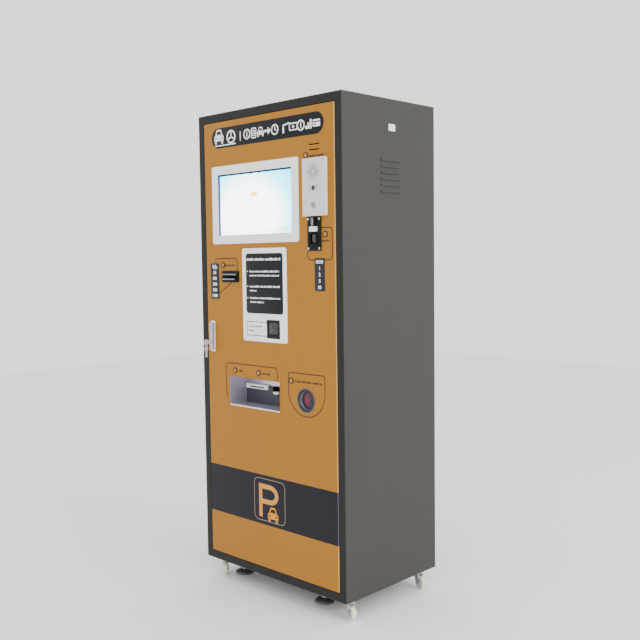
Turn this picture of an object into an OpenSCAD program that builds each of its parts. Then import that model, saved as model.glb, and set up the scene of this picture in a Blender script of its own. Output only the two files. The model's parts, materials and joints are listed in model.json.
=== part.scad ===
// Free-standing parking payment and ticket machine: a sheet-steel cabinet on casters and levelling
// feet, with one full-height hinged front door that carries the display, the payment devices, the
// pick-up tray and a swing handle that drives two bolts by rack and pinion.
// Millimetres. X is to the right, Y to the back, Z up. Modules are drawn with the cabinet's front at
// y = 0 and the floor at z = 0; place() then centres the footprint on the origin.

/* [Body] */
// Width across the side panels
body_w = 750; // [740:5:920]
// Depth from the front frame to the rear panel
body_d = 500; // [480:5:640]
// Height of the cabinet without its casters
body_h = 1725; // [1700:5:2100]
// Height of the cabinet's base above the floor
ride_h = 75; // [72:1:95]
// Thickness of the cabinet's and the door's steel
sheet = 2; // [1.6:0.1:3]
// Width of the front frame's border
frame_w = 30; // [26:1:40]
// Depth of the front frame's inner return
frame_depth = 40; // [38:1:60]

/* [Door] */
// Gap between the door and the front frame
door_gap = 3; // [2.5:0.1:5]
// Depth of the door's folded edge
door_depth = 25; // [20:1:30]
// How far the door's face stands in front of the frame
door_proud = 1.5; // [0:0.1:3]
// Outer bend radius of the door's long edges
bend_r = 3; // [2:0.5:5]
// Radius of the hinge pins
hinge_pin_r = 3.5; // [2.5:0.5:4]

/* [Display] */
// Width of the visible screen
screen_w = 399; // [340:1:410]
// Height of the visible screen
screen_h = 228; // [190:1:240]
// Width of the white bezel around the screen
bezel_w = 35; // [20:1:40]
// How far the glass lies behind the door's face
screen_recess = 6; // [4:1:12]

/* [Payment devices] */
// Width of the intercom
intercom_w = 107.5; // [90:0.5:112]
// Height of the intercom
intercom_h = 195; // [170:1:200]
// How far the intercom stands out
intercom_proud = 14; // [10:1:20]
// Width of the coin faceplate
coin_plate_w = 63; // [58:1:75]
// Height of the coin faceplate
coin_plate_h = 116; // [110:1:120]
// Width of the banknote bezel
note_bezel_w = 96; // [90:1:110]
// Width of the banknote slot
note_slot_w = 74; // [66:1:82]
// Width of the pick-up tray's opening
tray_w = 278; // [240:1:300]
// Height of the pick-up tray's opening
tray_h = 110; // [90:1:120]
// Depth of the pick-up tray
tray_d = 88; // [60:1:110]
// Radius of the round code scanner's recess
scanner_r = 40; // [32:1:44]

/* [Lock] */
// Module of the lock's rack and pinion
gear_module = 1.25; // [1:0.05:1.5]
// Teeth on the lock's pinion
pinion_teeth = 18; // [18:1:22]
// Length of the swing lever
lever_l = 104; // [90:1:120]
// Width of the swing lever
lever_w = 20; // [18:1:24]

/* [Casters and feet] */
// Diameter of the caster wheels
wheel_d = 50; // [44:1:52]
// Width of the caster wheels
wheel_w = 18; // [14:1:22]
// Distance from a caster's swivel axis to its axle
caster_trail = 18; // [12:1:22]
// Diameter of the levelling feet
foot_d = 74; // [60:1:78]
// Radius of the levelling feet's studs
stud_r = 6; // [4:0.5:8]
// Height of the levelling feet above the floor
foot_lift = 28; // [0:1:36]

/* [Hidden] */
$fn = 48;
caster_ids = ["front_left", "front_right", "rear_left", "rear_right"];

// Clearances
run_gap = 0.05;   // round running fits
slip_gap = 0.3;   // sliding and rotating faces
loose_gap = 1;    // holes that only pass something

// Cabinet
half_w = body_w / 2;
top_z = ride_h + body_h;
inner_x = half_w - sheet;
open_x = half_w - frame_w;
open_z0 = ride_h + frame_w;
open_z1 = top_z - frame_w;
rear_proud = 20;    // the cable gland behind the rear panel
post_w = 25;
post_wall = 2;
post_y0 = body_d - sheet - post_w;
shelf_z = [780, 1150];
shelf_y0 = 285;
shelf_t = 2;

// Door
door_x = open_x - door_gap;
door_z0 = open_z0 + door_gap;
door_z1 = open_z1 - door_gap;
door_y = -door_proud;
skin_y = door_y + sheet;
door_back = door_y + door_depth;
knuckle_r = hinge_pin_r + 2.3;
hinge_in = sheet + knuckle_r + 0.2;   // hinge axis behind the door's face and inside its edge
hinge_x = door_x - hinge_in;
hinge_y = door_y + hinge_in;
knuckle_h = 34;
bracket_h = 10;
hinge_zs = [door_z0 + 150, (door_z0 + door_z1) / 2, door_z1 - 150];

// Louvres in the side panels
louvre_n = 6;
louvre_pitch = 21.6;
louvre_l = 96;
louvre_h = 9;
louvre_out = 3.5;
louvre_y = 247;
louvre_z = 1531;

// Display
screen_x = -62.5;
screen_z = 1456;
bezel_t = 3;
bezel_lip = 2.5;
glass_t = 3;
glass_over = 10;
glass_y = door_y + screen_recess;
module_d = 32;
rail_h = 18;

// Instruction plate and square code reader
instr_x = -13.4;
instr_z = 1121;
instr_w = 240;
instr_h = 341;
instr_t = 3;
reader_x = 35.8;
reader_z = 998.5;
reader_s = 67.5;
reader_t = 5;
reader_d = 30;

// Intercom and its speaker slots
intercom_x = 254.8;
intercom_z = 1492.5;
intercom_face_t = 2;
intercom_top = intercom_z + intercom_h / 2;
speaker_z = intercom_top - 47;
camera_z = intercom_top - 101;
call_z = intercom_top - 158.5;
call_r = 9.8;
call_travel = 1.5;
sound_slot = [50, 4];
sound_slot_x = 248;
sound_slot_zs = [1619, 1637];

// Coin acceptor
coin_x = 246.8;
coin_top = intercom_z - intercom_h / 2 - 2;
coin_z = coin_top - coin_plate_h / 2;
coin_plate_t = 4;
coin_slot_w = 3.6;
coin_slot_h = 27;
coin_block = [20, 30];
coin_slot_z = coin_top - 17;
reject_w = 33;
reject_h = 17;
reject_z = coin_top - 42;
reject_out = 7;
reject_travel = 3;
flap_w = 28;
flap_h = 34;
flap_t = 2;
flap_top = coin_top - 58;
cup_out = 8;
cup_d = 42;
cup_wall = 3;

// Banknote acceptor
note_x = -199.5;
note_z = 1187.5;
note_bezel_h = 43;
note_slot_h = 7;
note_head_w = 92;
note_head_h = 96;
note_head_d = 95;
cassette_w = 86;
cassette_d = 68;
cassette_h = 170;
cassette_z0 = 1142;
cassette_travel = 120;

// Pick-up tray, printer and paper roll
tray_x = -77.5;
tray_z = 754.5;
tray_wall = 1.5;
tray_rim = 1;
tray_back = door_y + tray_d;
mouth_x = -151;
mouth_w = 115;
mouth_z = 764;
mouth_h = 16;
mouth_out = 6;
printer_d = 62;
printer_h = 66;
outlet_x = -42;
outlet_w = 34;
outlet_z = 758.5;
outlet_h = 27;
roll_r = 40;
roll_w = 79.5;
roll_y = tray_back + 62;
roll_z = 858;
spindle_r = 8;

// Round scanner recess
scan_x = 193.6;
scan_z = 756.4;
scan_wall = 2;
scan_d = 34;
scan_window_r = scanner_r - 11;

// Lock
lock_x = -(door_x - 32);
lock_z = 995;
pitch_r = gear_module * pinion_teeth / 2;
pressure = 20;
backlash = 0.3;
rack_pitch = PI * gear_module;
root_depth = 1.25 * gear_module;
bar_in = pitch_r + root_depth;   // bar's toothed face
bar_t = 6;
bar_out = bar_in + bar_t;
gear_y0 = 6;
gear_t = 8;
bolt_travel = pitch_r * PI / 2;
rack_half = 7;                   // teeth on each side of the pinion's axis
bolt_short = 0.5;                // drawn bolt's end inside the door's edge
guide_n = 3;
base_t = 3;
base_w = lever_w + 4;
base_over = 7;                   // escutcheon beyond the lever's ends
lever_up = 14;                   // lever above its spindle
lever_t = 9;
lever_front = door_y - base_t - slip_gap - lever_t;
lever_z0 = lock_z + lever_up - lever_l;
spindle_lock_r = 5;
spindle_end = gear_y0 + gear_t + slip_gap + 2;   // flush with the lock case's back
cylinder_z = lever_z0 + 30;
cylinder_r = 8.5;
cylinder_out = 4;
plug_r = 6;
key_t = 2.4;
key_neck = 9;
bow_r = 11;
bow_y = lever_front - cylinder_out - key_neck - bow_r;
ring_r = 6;
wire_r = 0.9;
key_hole_r = 1.3;
key_hole_z = cylinder_z - 7;
spare_len = 24;
spare_r = 9;
spare_drop = 6;     // spare key's hole to the middle of its head
front_y = (bow_r - bow_y - rear_proud - body_d) / 2;   // the key's head is the frontmost point

// Casters and feet
caster_x = half_w - 42;
caster_ys = [57, body_d - 57];
caster_turn = [-45, -19, -25, -12];      // rest direction of each caster's trail, about Z
wheel_r = wheel_d / 2;
axle_r = 4;
fork_gap = wheel_w / 2 + 1;
fork_t = 2.5;
kingpin_r = 5;
plate_s = 60;
plate_t = 3;
race_r = 20;
race_z0 = ride_h - plate_t - 6;
crown_z1 = race_z0 - slip_gap;
crown_z0 = crown_z1 - 7.5;
crown_r = 21;
caster_bolt_r = 3;
caster_bolt_in = 22;
foot_xs = [-217, 217];
foot_ys = [56, body_d - 56];
foot_nut_h = 9;
stud_over = 30;
foot_pad_t = 10;
boss_r = stud_r + 6;
boss_h = 14;
anchor_x = 220;
anchor_ys = [150, 350];
anchor_r = 7;

// Inner equipment
coin_box_size = [220, 180, 120];
coin_box_y = 285;
coin_box_wall = 1.5;
hopper_x = outlet_x;
hopper_w = 120;
hopper_d = 150;
hopper_h = 140;
hopper_y = 290;
hopper_z = shelf_z[0] + shelf_t;
disc_r = 44.7;
disc_z = hopper_z + 40;
disc_t = 8;
chute_wall = 1.5;
fan_s = 92;
fan_t = 25;
fan_blades = 7;
gland_x = -250;
gland_z = 140;
gland_r = 10;
gland_bore_r = 6;
gland_in = 22;

// Prints, plaques and lamps on the door
print_t = 0.4;
line_w = 2;
plaque_t = 1.5;
plaque_size = [588, 74];
plaque_z = 1707;
band_z0 = 270;
band_z1 = 456;
sign_x = -3.6;
sign_z = 363.6;
sign_size = [164.6, 157];
lamp_r = 11;
lamp_t = 3;
lamp_places = [[207.7, 1602], [296.2, 1332.4], [-243.8, 1230.7], [-184.2, 833.4], [-52.1, 833.4],
    [121.1, 821]];
label_h = 11;
// Centre and width of each label bar, in the order of the lamps
label_places = [[258, 1598, 68], [299.5, 1311, 40], [-201, 1230, 58], [-150.5, 833.4, 25],
    [-11.5, 833.4, 47], [205.8, 821, 135.5]];
denomination_coin = [268.2, 1196.2, 47.3, 112];
denomination_note = [-292.9, 1169.2, 49.2, 135.5];

// ---------- shape helpers ----------

module place() { translate([0, front_y, 0]) children(); }

// Box from corner a to corner b
module block(a, b) { translate(a) cube(b - a); }

// Rounded rectangle centred on the origin
module rounded(w, h, r) {
    square([w - 2 * r, h], center = true);
    square([w, h - 2 * r], center = true);
    for (x = [-1, 1], z = [-1, 1])
        translate([x * (w / 2 - r), z * (h / 2 - r)]) circle(r);
}

// Draws a flat shape of the X-Z plane as a plate from y0 to y0 + t, centred at x, z
module upright(x, z, y0, t) {
    translate([x, y0 + t, z]) rotate([90, 0, 0]) linear_extrude(t) children();
}

// Cylinder along Y from y0 to y0 + len
module rod_y(x, z, y0, len, r) { translate([x, y0, z]) rotate([-90, 0, 0]) cylinder(h = len, r = r); }

// Cylinder along X from x0 to x0 + len
module rod_x(y, z, x0, len, r) { translate([x0, y, z]) rotate([0, 90, 0]) cylinder(h = len, r = r); }

// Screw with a domed head against a face at y; dir is -1 where the head is in front
module screw_y(x, z, y, len, r, dir = -1) {
    rod_y(x, z, min(y, y - dir * len), len, r);
    rod_y(x, z, dir < 0 ? y - r : y, r, 2 * r);
}

// ---------- cabinet ----------

module louvre_slots(x0, x1) {
    for (i = [0:louvre_n - 1]) {
        z = louvre_z + (i - (louvre_n - 1) / 2) * louvre_pitch;
        block([x0, louvre_y - louvre_l / 2, z], [x1, louvre_y + louvre_l / 2, z + louvre_h]);
    }
}

// Pressed hoods over the slots, each closed at its top and ends and open below
module louvre_hoods() {
    wall = 1;
    for (i = [0:louvre_n - 1]) {
        z = louvre_z + (i - (louvre_n - 1) / 2) * louvre_pitch;
        difference() {
            translate([0, louvre_y + louvre_l / 2 + wall, z]) rotate([90, 0, 0])
                linear_extrude(louvre_l + 2 * wall)
                    polygon([[0, 0], [louvre_out, 0], [louvre_out, 2], [0, louvre_h + 2]]);
            translate([0, louvre_y + louvre_l / 2, z]) rotate([90, 0, 0])
                linear_extrude(louvre_l)
                    polygon([[-1, -1], [louvre_out - wall, -1], [louvre_out - wall, 1.4],
                        [0, louvre_h], [-1, louvre_h]]);
        }
    }
}

module side_panel() {
    difference() {
        block([inner_x, 0, ride_h], [half_w, body_d, top_z]);
        louvre_slots(inner_x - 1, half_w + 1);
    }
    translate([half_w, 0, 0]) louvre_hoods();
}

module right_side() { color("dimgray") side_panel(); }
module left_side() { color("dimgray") mirror([1, 0, 0]) side_panel(); }

module front_frame() {
    color("dimgray") difference() {
        union() {
            block([-inner_x, 0, ride_h + sheet], [inner_x, sheet, top_z - sheet]);
            block([-open_x - sheet, 0, open_z0 - sheet], [open_x + sheet, frame_depth, open_z1 + sheet]);
        }
        block([-open_x, -1, open_z0], [open_x, frame_depth + 1, open_z1]);
        for (s = [-1, 1])
            keeper_hole(s);
    }
}

// Hole in the frame's return for the bolt on that side of the pinion: 1 is the upper, -1 the lower
module keeper_hole(s) {
    z = s > 0 ? open_z1 : open_z0 - sheet;
    x0 = lock_x + (s > 0 ? bar_in : -bar_out) - loose_gap;
    block([x0, gear_y0 - loose_gap, z - 1],
        [x0 + bar_t + 2 * loose_gap, gear_y0 + gear_t + loose_gap, z + sheet + 1]);
}

module top_cover() {
    color("dimgray") block([-inner_x, 0, top_z - sheet], [inner_x, body_d, top_z]);
}

module each_caster() {
    for (i = [0:3])
        translate([caster_x * (i % 2 == 0 ? -1 : 1), caster_ys[floor(i / 2)], 0]) children();
}

module base_pan() {
    color("dimgray") difference() {
        union() {
            block([-inner_x, 0, ride_h], [inner_x, body_d, ride_h + sheet]);
            for (x = foot_xs, y = foot_ys)
                translate([x, y, ride_h]) cylinder(h = boss_h, r = boss_r);
        }
        for (x = foot_xs, y = foot_ys)
            translate([x, y, ride_h - 1]) cylinder(h = boss_h + 2, r = stud_r + run_gap);
        for (x = [-1, 1], y = anchor_ys)
            translate([x * anchor_x, y, ride_h - 1]) cylinder(h = sheet + 2, r = anchor_r);
        each_caster() caster_bolt_holes(ride_h - 1, sheet + 2);
    }
}

module caster_bolt_holes(z, h) {
    for (x = [-1, 1], y = [-1, 1])
        translate([x * caster_bolt_in, y * caster_bolt_in, z]) cylinder(h = h, r = caster_bolt_r + 0.2);
}

module rear_panel() {
    vent = [120, 5];
    color("dimgray") difference() {
        block([-inner_x, body_d - sheet, ride_h + sheet], [inner_x, body_d, top_z - sheet]);
        for (i = [0:5])
            upright(120, ride_h + 120 + i * 15, body_d - sheet - 1, sheet + 2)
                rounded(vent[0], vent[1], vent[1] / 2 - 0.01);
        rod_y(gland_x, gland_z, body_d - sheet - 1, sheet + 2, gland_r);
        rear_screw_places() rod_y(0, 0, body_d - sheet - 1, sheet + 2, 2.7);
    }
}

module rear_screw_places() {
    for (s = [-1, 1], i = [0:4])
        translate([s * (inner_x - post_w / 2), 0, ride_h + 60 + i * (body_h - 120) / 4]) children();
}

module panel_screws() {
    color("silver") {
        rear_screw_places() screw_y(0, 0, body_d, sheet + post_wall, 2.5, 1);
        each_caster() for (x = [-1, 1], y = [-1, 1])
            translate([x * caster_bolt_in, y * caster_bolt_in, 0]) {
                translate([0, 0, ride_h - plate_t]) cylinder(h = plate_t + sheet, r = caster_bolt_r);
                translate([0, 0, ride_h + sheet]) cylinder(h = 4, r = 5.5, $fn = 6);
                translate([0, 0, ride_h - plate_t - 5]) cylinder(h = 5, r = 5.5, $fn = 6);
            }
    }
}

module equipment_rack() {
    color("gainsboro") {
        for (s = [-1, 1]) difference() {
            x0 = s > 0 ? inner_x - post_w : -inner_x;
            block([x0, post_y0, ride_h + sheet], [x0 + post_w, post_y0 + post_w, top_z - sheet]);
            block([x0 + post_wall, post_y0 + post_wall, ride_h + sheet - 1],
                [x0 + post_w - post_wall, post_y0 + post_w - post_wall, top_z]);
            rear_screw_places() rod_y(0, 0, post_y0 + post_w - post_wall - 1, post_wall + 2, 2.5);
        }
        for (z = shelf_z) {
            block([-inner_x, shelf_y0, z], [inner_x, post_y0 - slip_gap, z + shelf_t]);
            block([-inner_x, shelf_y0, z - 18], [inner_x, shelf_y0 + shelf_t, z]);
        }
        for (s = [-1, 1]) {
            x0 = s > 0 ? coin_box_size[0] / 2 + slip_gap : -coin_box_size[0] / 2 - slip_gap - 12;
            block([x0, coin_box_y - 200, ride_h + sheet],
                [x0 + 12, coin_box_y + coin_box_size[1], ride_h + sheet + 14]);
        }
    }
}

module hinge_brackets() {
    arm_back = 24;
    color("silver") for (z = hinge_zs) {
        for (s = [-1, 1]) {
            z0 = z + s * (knuckle_h / 2 + slip_gap + bracket_h / 2) - bracket_h / 2;
            translate([hinge_x, hinge_y, z0]) {
                cylinder(h = bracket_h, r = knuckle_r);
                block([-knuckle_r, 0, 0], [2, arm_back + 8, bracket_h]);
                block([-knuckle_r, arm_back, 0], [open_x - hinge_x, arm_back + 8, bracket_h]);
            }
        }
        block([open_x - 3, hinge_y + arm_back - 4, z - knuckle_h / 2 - bracket_h],
            [open_x, frame_depth, z + knuckle_h / 2 + bracket_h]);
        translate([hinge_x, hinge_y, z - knuckle_h / 2 - bracket_h])
            cylinder(h = knuckle_h + 2 * bracket_h, r = hinge_pin_r);
    }
}

// ---------- casters and feet ----------

module caster_plates() {
    color("silver") each_caster() difference() {
        union() {
            translate([-plate_s / 2, -plate_s / 2, ride_h - plate_t]) cube([plate_s, plate_s, plate_t]);
            translate([0, 0, race_z0]) cylinder(h = ride_h - race_z0, r = race_r);
            translate([0, 0, crown_z0 - slip_gap]) cylinder(h = race_z0 - crown_z0 + 1, r = kingpin_r);
            translate([0, 0, crown_z0 - slip_gap - 3]) cylinder(h = 3, r = kingpin_r + 3);
        }
        caster_bolt_holes(ride_h - plate_t - 1, plate_t + 2);
    }
}

// Puts its children at caster i with +X along that caster's trail
module at_caster(i) {
    translate([caster_x * (i % 2 == 0 ? -1 : 1), caster_ys[floor(i / 2)], 0])
        rotate([0, 0, caster_turn[i]]) children();
}

module caster_fork(i) {
    leg_top = crown_z0 + 1;
    color("silver") at_caster(i) {
        difference() {
            union() {
                translate([0, 0, crown_z0]) cylinder(h = crown_z1 - crown_z0, r = crown_r);
                for (s = [-1, 1])
                    upright(0, 0, s * (fork_gap + fork_t / 2) - fork_t / 2, fork_t) {
                        polygon([[-14, leg_top], [16, leg_top], [caster_trail + 9, wheel_r],
                            [caster_trail - 9, wheel_r]]);
                        translate([caster_trail, wheel_r]) circle(9);
                    }
            }
            translate([0, 0, crown_z0 - 1]) cylinder(h = 20, r = kingpin_r + run_gap);
        }
        rod_y(caster_trail, wheel_r, -fork_gap - fork_t, 2 * (fork_gap + fork_t), axle_r);
        for (s = [-1, 1])
            rod_y(caster_trail, wheel_r, s * (fork_gap + fork_t + 1.5) - 1.5, 3, 6);
    }
}

module caster_wheel(i) {
    h = wheel_w / 2;
    color("ivory") at_caster(i) translate([caster_trail, 0, wheel_r]) rotate([90, 0, 0])
        rotate_extrude() polygon([[axle_r + run_gap, -h], [wheel_r - 9, -h], [wheel_r - 8, -h + 1.5],
            [wheel_r - 5, -h + 1.5], [wheel_r - 4, -h], [wheel_r - 2, -h + 0.6],
            [wheel_r, -h + 4], [wheel_r, h - 4], [wheel_r - 2, h - 0.6], [wheel_r - 4, h],
            [wheel_r - 5, h - 1.5], [wheel_r - 8, h - 1.5], [wheel_r - 9, h], [axle_r + run_gap, h]]);
}

module foot(ix, iy) {
    color("dimgray") translate([foot_xs[ix], foot_ys[iy], foot_lift]) {
        cylinder(h = 3, r = foot_d / 2);
        translate([0, 0, 3]) cylinder(h = 5, r1 = foot_d / 2, r2 = foot_d / 2 - 6);
        translate([0, 0, 8]) cylinder(h = foot_pad_t - 2, r1 = foot_d / 2 - 6, r2 = stud_r + 5);
        cylinder(h = ride_h - foot_lift + boss_h + stud_over, r = stud_r);
        translate([0, 0, ride_h - foot_lift - foot_nut_h - slip_gap])
            cylinder(h = foot_nut_h, r = stud_r + 5, $fn = 6);
    }
}

module caster_fork_front_left() { caster_fork(0); }
module caster_fork_front_right() { caster_fork(1); }
module caster_fork_rear_left() { caster_fork(2); }
module caster_fork_rear_right() { caster_fork(3); }
module caster_wheel_front_left() { caster_wheel(0); }
module caster_wheel_front_right() { caster_wheel(1); }
module caster_wheel_rear_left() { caster_wheel(2); }
module caster_wheel_rear_right() { caster_wheel(3); }
module foot_front_left() { foot(0, 0); }
module foot_front_right() { foot(1, 0); }
module foot_rear_left() { foot(0, 1); }
module foot_rear_right() { foot(1, 1); }

// ---------- inner equipment ----------

module control_computer() {
    z = shelf_z[1] + shelf_t;
    size = [230, 130, 50];
    color("darkslategray") {
        translate([-180, shelf_y0 + 30, z]) cube(size);
        for (i = [0:10])
            translate([-170 + i * 20, shelf_y0 + 36, z + size[2]]) cube([4, size[1] - 12, 14]);
        for (i = [0:3])
            translate([-165 + i * 45, shelf_y0 + 22, z + 12]) cube([28, 8, 16]);
    }
}

module power_supply() {
    z = shelf_z[0] + shelf_t;
    color("silver") {
        translate([110, shelf_y0 + 40, z]) difference() {
            cube([100, 110, 160]);
            for (i = [0:9])
                translate([8 + i * 9, -1, 70]) cube([4, 3, 80]);
        }
        block([230, post_y0 - 6, z], [330, post_y0, z + 120]);
    }
    color("whitesmoke") for (i = [0:4])
        translate([236 + i * 18, post_y0 - 6 - 62, z + 20]) {
            cube([17.6, 62, 84]);
            translate([5, -6, 36]) cube([7, 6, 14]);
        }
}

module fan_frame() {
    x0 = inner_x - fan_t;
    color("black") translate([0, louvre_y, louvre_z]) {
        difference() {
            block([x0, -fan_s / 2, -fan_s / 2], [inner_x, fan_s / 2, fan_s / 2]);
            rod_x(0, 0, x0 - 1, fan_t + 2, fan_s / 2 - 3);
            for (y = [-1, 1], z = [-1, 1])
                rod_x(y * (fan_s / 2 - 5), z * (fan_s / 2 - 5), x0 - 1, fan_t + 2, 2.2);
        }
        for (a = [45, 135])
            rotate([a, 0, 0]) block([inner_x - 3, -fan_s / 2 + 2, -3], [inner_x, fan_s / 2 - 2, 3]);
        rod_x(0, 0, inner_x - 3, 3, 18);
        rod_x(0, 0, x0 + 2, fan_t - 4, 2.5);
    }
}

module fan_rotor() {
    x0 = inner_x - fan_t + 3;
    len = fan_t - 3 - 3 - slip_gap;
    color("black") translate([0, louvre_y, louvre_z]) difference() {
        union() {
            rod_x(0, 0, x0, len, 17);
            for (i = [0:fan_blades - 1])
                rotate([i * 360 / fan_blades, 0, 0]) translate([x0 + len / 2, 0, 16])
                    rotate([0, 0, 38]) block([-1, -11, 0], [1, 11, fan_s / 2 - 3 - 16 - 2.6]);
        }
        rod_x(0, 0, x0 - 1, len + 2, 2.5 + run_gap);
    }
}

module cable_gland() {
    color("black") difference() {
        union() {
            rod_y(gland_x, gland_z, body_d - gland_in, gland_in + rear_proud, gland_r - 0.1);
            translate([gland_x, body_d + 6, gland_z]) rotate([90, 0, 0])
                cylinder(h = 6, r = gland_r + 4, $fn = 6);
            translate([gland_x, body_d - sheet, gland_z]) rotate([90, 0, 0])
                cylinder(h = 5, r = gland_r + 4, $fn = 6);
        }
        rod_y(gland_x, gland_z, body_d - gland_in - 1, gland_in + rear_proud + 2, gland_bore_r);
    }
}

module coin_hopper() {
    x0 = hopper_x - hopper_w / 2;
    x1 = hopper_x + hopper_w / 2;
    y1 = hopper_y + hopper_d;
    cy = hopper_y + hopper_d / 2;
    exit_x = outlet_w / 2;
    floor_z = disc_z - slip_gap;
    color("firebrick") {
        difference() {
            block([x0, hopper_y, hopper_z], [x1, y1, hopper_z + hopper_h]);
            block([x0 + 3, hopper_y + 3, floor_z], [x1 - 3, y1 - 3, hopper_z + hopper_h + 1]);
            block([x0 + 12, hopper_y + 12, hopper_z - 1], [x1 - 12, y1 - 12, floor_z - 6]);
            block([hopper_x - exit_x, hopper_y - 1, floor_z], [hopper_x + exit_x, hopper_y + 4, disc_z + 20]);
        }
        translate([hopper_x, cy, floor_z - 1]) cylinder(h = disc_t + 5, r = 5);
        difference() {
            block([hopper_x - exit_x - chute_wall, hopper_y - 110, floor_z - chute_wall],
                [hopper_x + exit_x + chute_wall, hopper_y, disc_z + 20]);
            block([hopper_x - exit_x, hopper_y - 111, floor_z],
                [hopper_x + exit_x, hopper_y + 1, disc_z + 21]);
        }
    }
}

module hopper_disc() {
    pockets = 5;
    color("gold") translate([hopper_x, hopper_y + hopper_d / 2, disc_z]) difference() {
        cylinder(h = disc_t, r = disc_r);
        translate([0, 0, -1]) cylinder(h = disc_t + 2, r = 5 + run_gap);
        for (i = [0:pockets - 1])
            rotate([0, 0, i * 360 / pockets]) translate([disc_r - 16, 0, -1])
                cylinder(h = disc_t + 2, r = 13);
    }
}

module coin_box() {
    w = coin_box_size[0];
    z0 = ride_h + sheet + slip_gap;
    y0 = coin_box_y;
    wall = coin_box_wall;
    color("silver") difference() {
        union() {
            block([-w / 2, y0, z0], [w / 2, y0 + coin_box_size[1], z0 + coin_box_size[2]]);
            block([-45, y0 - 24, z0 + 70], [45, y0, z0 + 82]);
        }
        block([-w / 2 + wall, y0 + wall, z0 + wall],
            [w / 2 - wall, y0 + coin_box_size[1] - wall, z0 + coin_box_size[2] + 1]);
        block([-38, y0 - 17, z0 + 69], [38, y0 - 0.01, z0 + 83]);
    }
}

// ---------- door ----------

module door_pan() {
    difference() {
        translate([0, 0, door_z0]) linear_extrude(door_z1 - door_z0) {
            translate([-door_x + bend_r, door_y]) square([2 * (door_x - bend_r), door_depth]);
            translate([-door_x, door_y + bend_r]) square([2 * door_x, door_depth - bend_r]);
            for (s = [-1, 1])
                translate([s * (door_x - bend_r), door_y + bend_r]) circle(bend_r);
        }
        block([-door_x + sheet, skin_y, door_z0 + sheet], [door_x - sheet, door_back + 1, door_z1 - sheet]);
    }
}

module door_panel() {
    color("goldenrod") difference() {
        door_pan();
        upright(screen_x, screen_z, door_y - 1, sheet + 2)
            square([screen_w + 2 * bezel_lip + 0.6, screen_h + 2 * bezel_lip + 0.6], center = true);
        for (z = sound_slot_zs)
            upright(sound_slot_x, z, door_y - 1, sheet + 2)
                rounded(sound_slot[0], sound_slot[1], sound_slot[1] / 2 - 0.01);
        rod_y(intercom_x, intercom_z, door_y - 1, sheet + 2, 12);
        upright(coin_x, coin_z, door_y - 1, sheet + 2)
            square([coin_plate_w - 16, coin_plate_h - 20], center = true);
        upright(note_x, note_z, door_y - 1, sheet + 2)
            square([note_slot_w + 6, note_slot_h + 8], center = true);
        upright(tray_x, tray_z, door_y - 1, sheet + 2)
            square([tray_w + 2 * tray_wall + 0.6, tray_h + 2 * tray_wall + 0.6], center = true);
        upright(reader_x, reader_z, door_y - 1, sheet + 2) square(reader_s - 8, center = true);
        rod_y(scan_x, scan_z, door_y - 1, sheet + 2, scanner_r + scan_wall + slip_gap);
        rod_y(lock_x, lock_z, door_y - 1, sheet + 2, spindle_lock_r + loose_gap);
        for (z = hinge_zs)
            block([door_x - sheet - 1, door_y + bend_r, z - knuckle_h / 2 - bracket_h - 4],
                [door_x + 1, door_back + 1, z + knuckle_h / 2 + bracket_h + 4]);
        bolt_way(1) square([bar_t + 1, gear_t + 1], center = true);
        bolt_way(-1) square([bar_t + 1, gear_t + 1], center = true);
    }
}

// A hole through the door's top (1) or bottom (-1) edge for the bolt
module bolt_way(s) {
    translate([lock_x + s * (bar_in + bar_t / 2), gear_y0 + gear_t / 2, (s > 0 ? door_z1 : door_z0) - 3])
        linear_extrude(6) children();
}

module hinge_knuckles() {
    leaf = 36;
    color("silver") for (z = hinge_zs)
        translate([hinge_x, hinge_y, z - knuckle_h / 2]) difference() {
            union() {
                cylinder(h = knuckle_h, r = knuckle_r);
                block([-leaf, skin_y - hinge_y, 0], [0, skin_y - hinge_y + 3, knuckle_h]);
            }
            translate([0, 0, -1]) cylinder(h = knuckle_h + 2, r = hinge_pin_r + run_gap);
        }
}

// ---------- prints and plaques on the door ----------

module line_xz(a, b) {
    w = line_w / 2;
    x0 = min(a[0], b[0]) - w;
    x1 = max(a[0], b[0]) + w;
    z0 = min(a[1], b[1]) - w;
    z1 = max(a[1], b[1]) + w;
    block([x0, door_y - print_t, z0], [x1, door_y, z1]);
}

module path_xz(points) {
    for (i = [0:len(points) - 2])
        line_xz(points[i], points[i + 1]);
}

// Shield outline round the scanner: straight sides with a rounded lower end
module shield() {
    w = 91.5;
    h = 65;
    r = 60;
    module shape(d) {
        translate([-w + d, 0]) square([2 * (w - d), h + 31 - d]);
        intersection() {
            circle(w - d);
            translate([-w, -r + d]) square([2 * w, r + 5]);
        }
    }
    upright(scan_x - 0.6, scan_z, door_y - print_t, print_t) difference() {
        shape(0);
        shape(line_w);
    }
}

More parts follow.
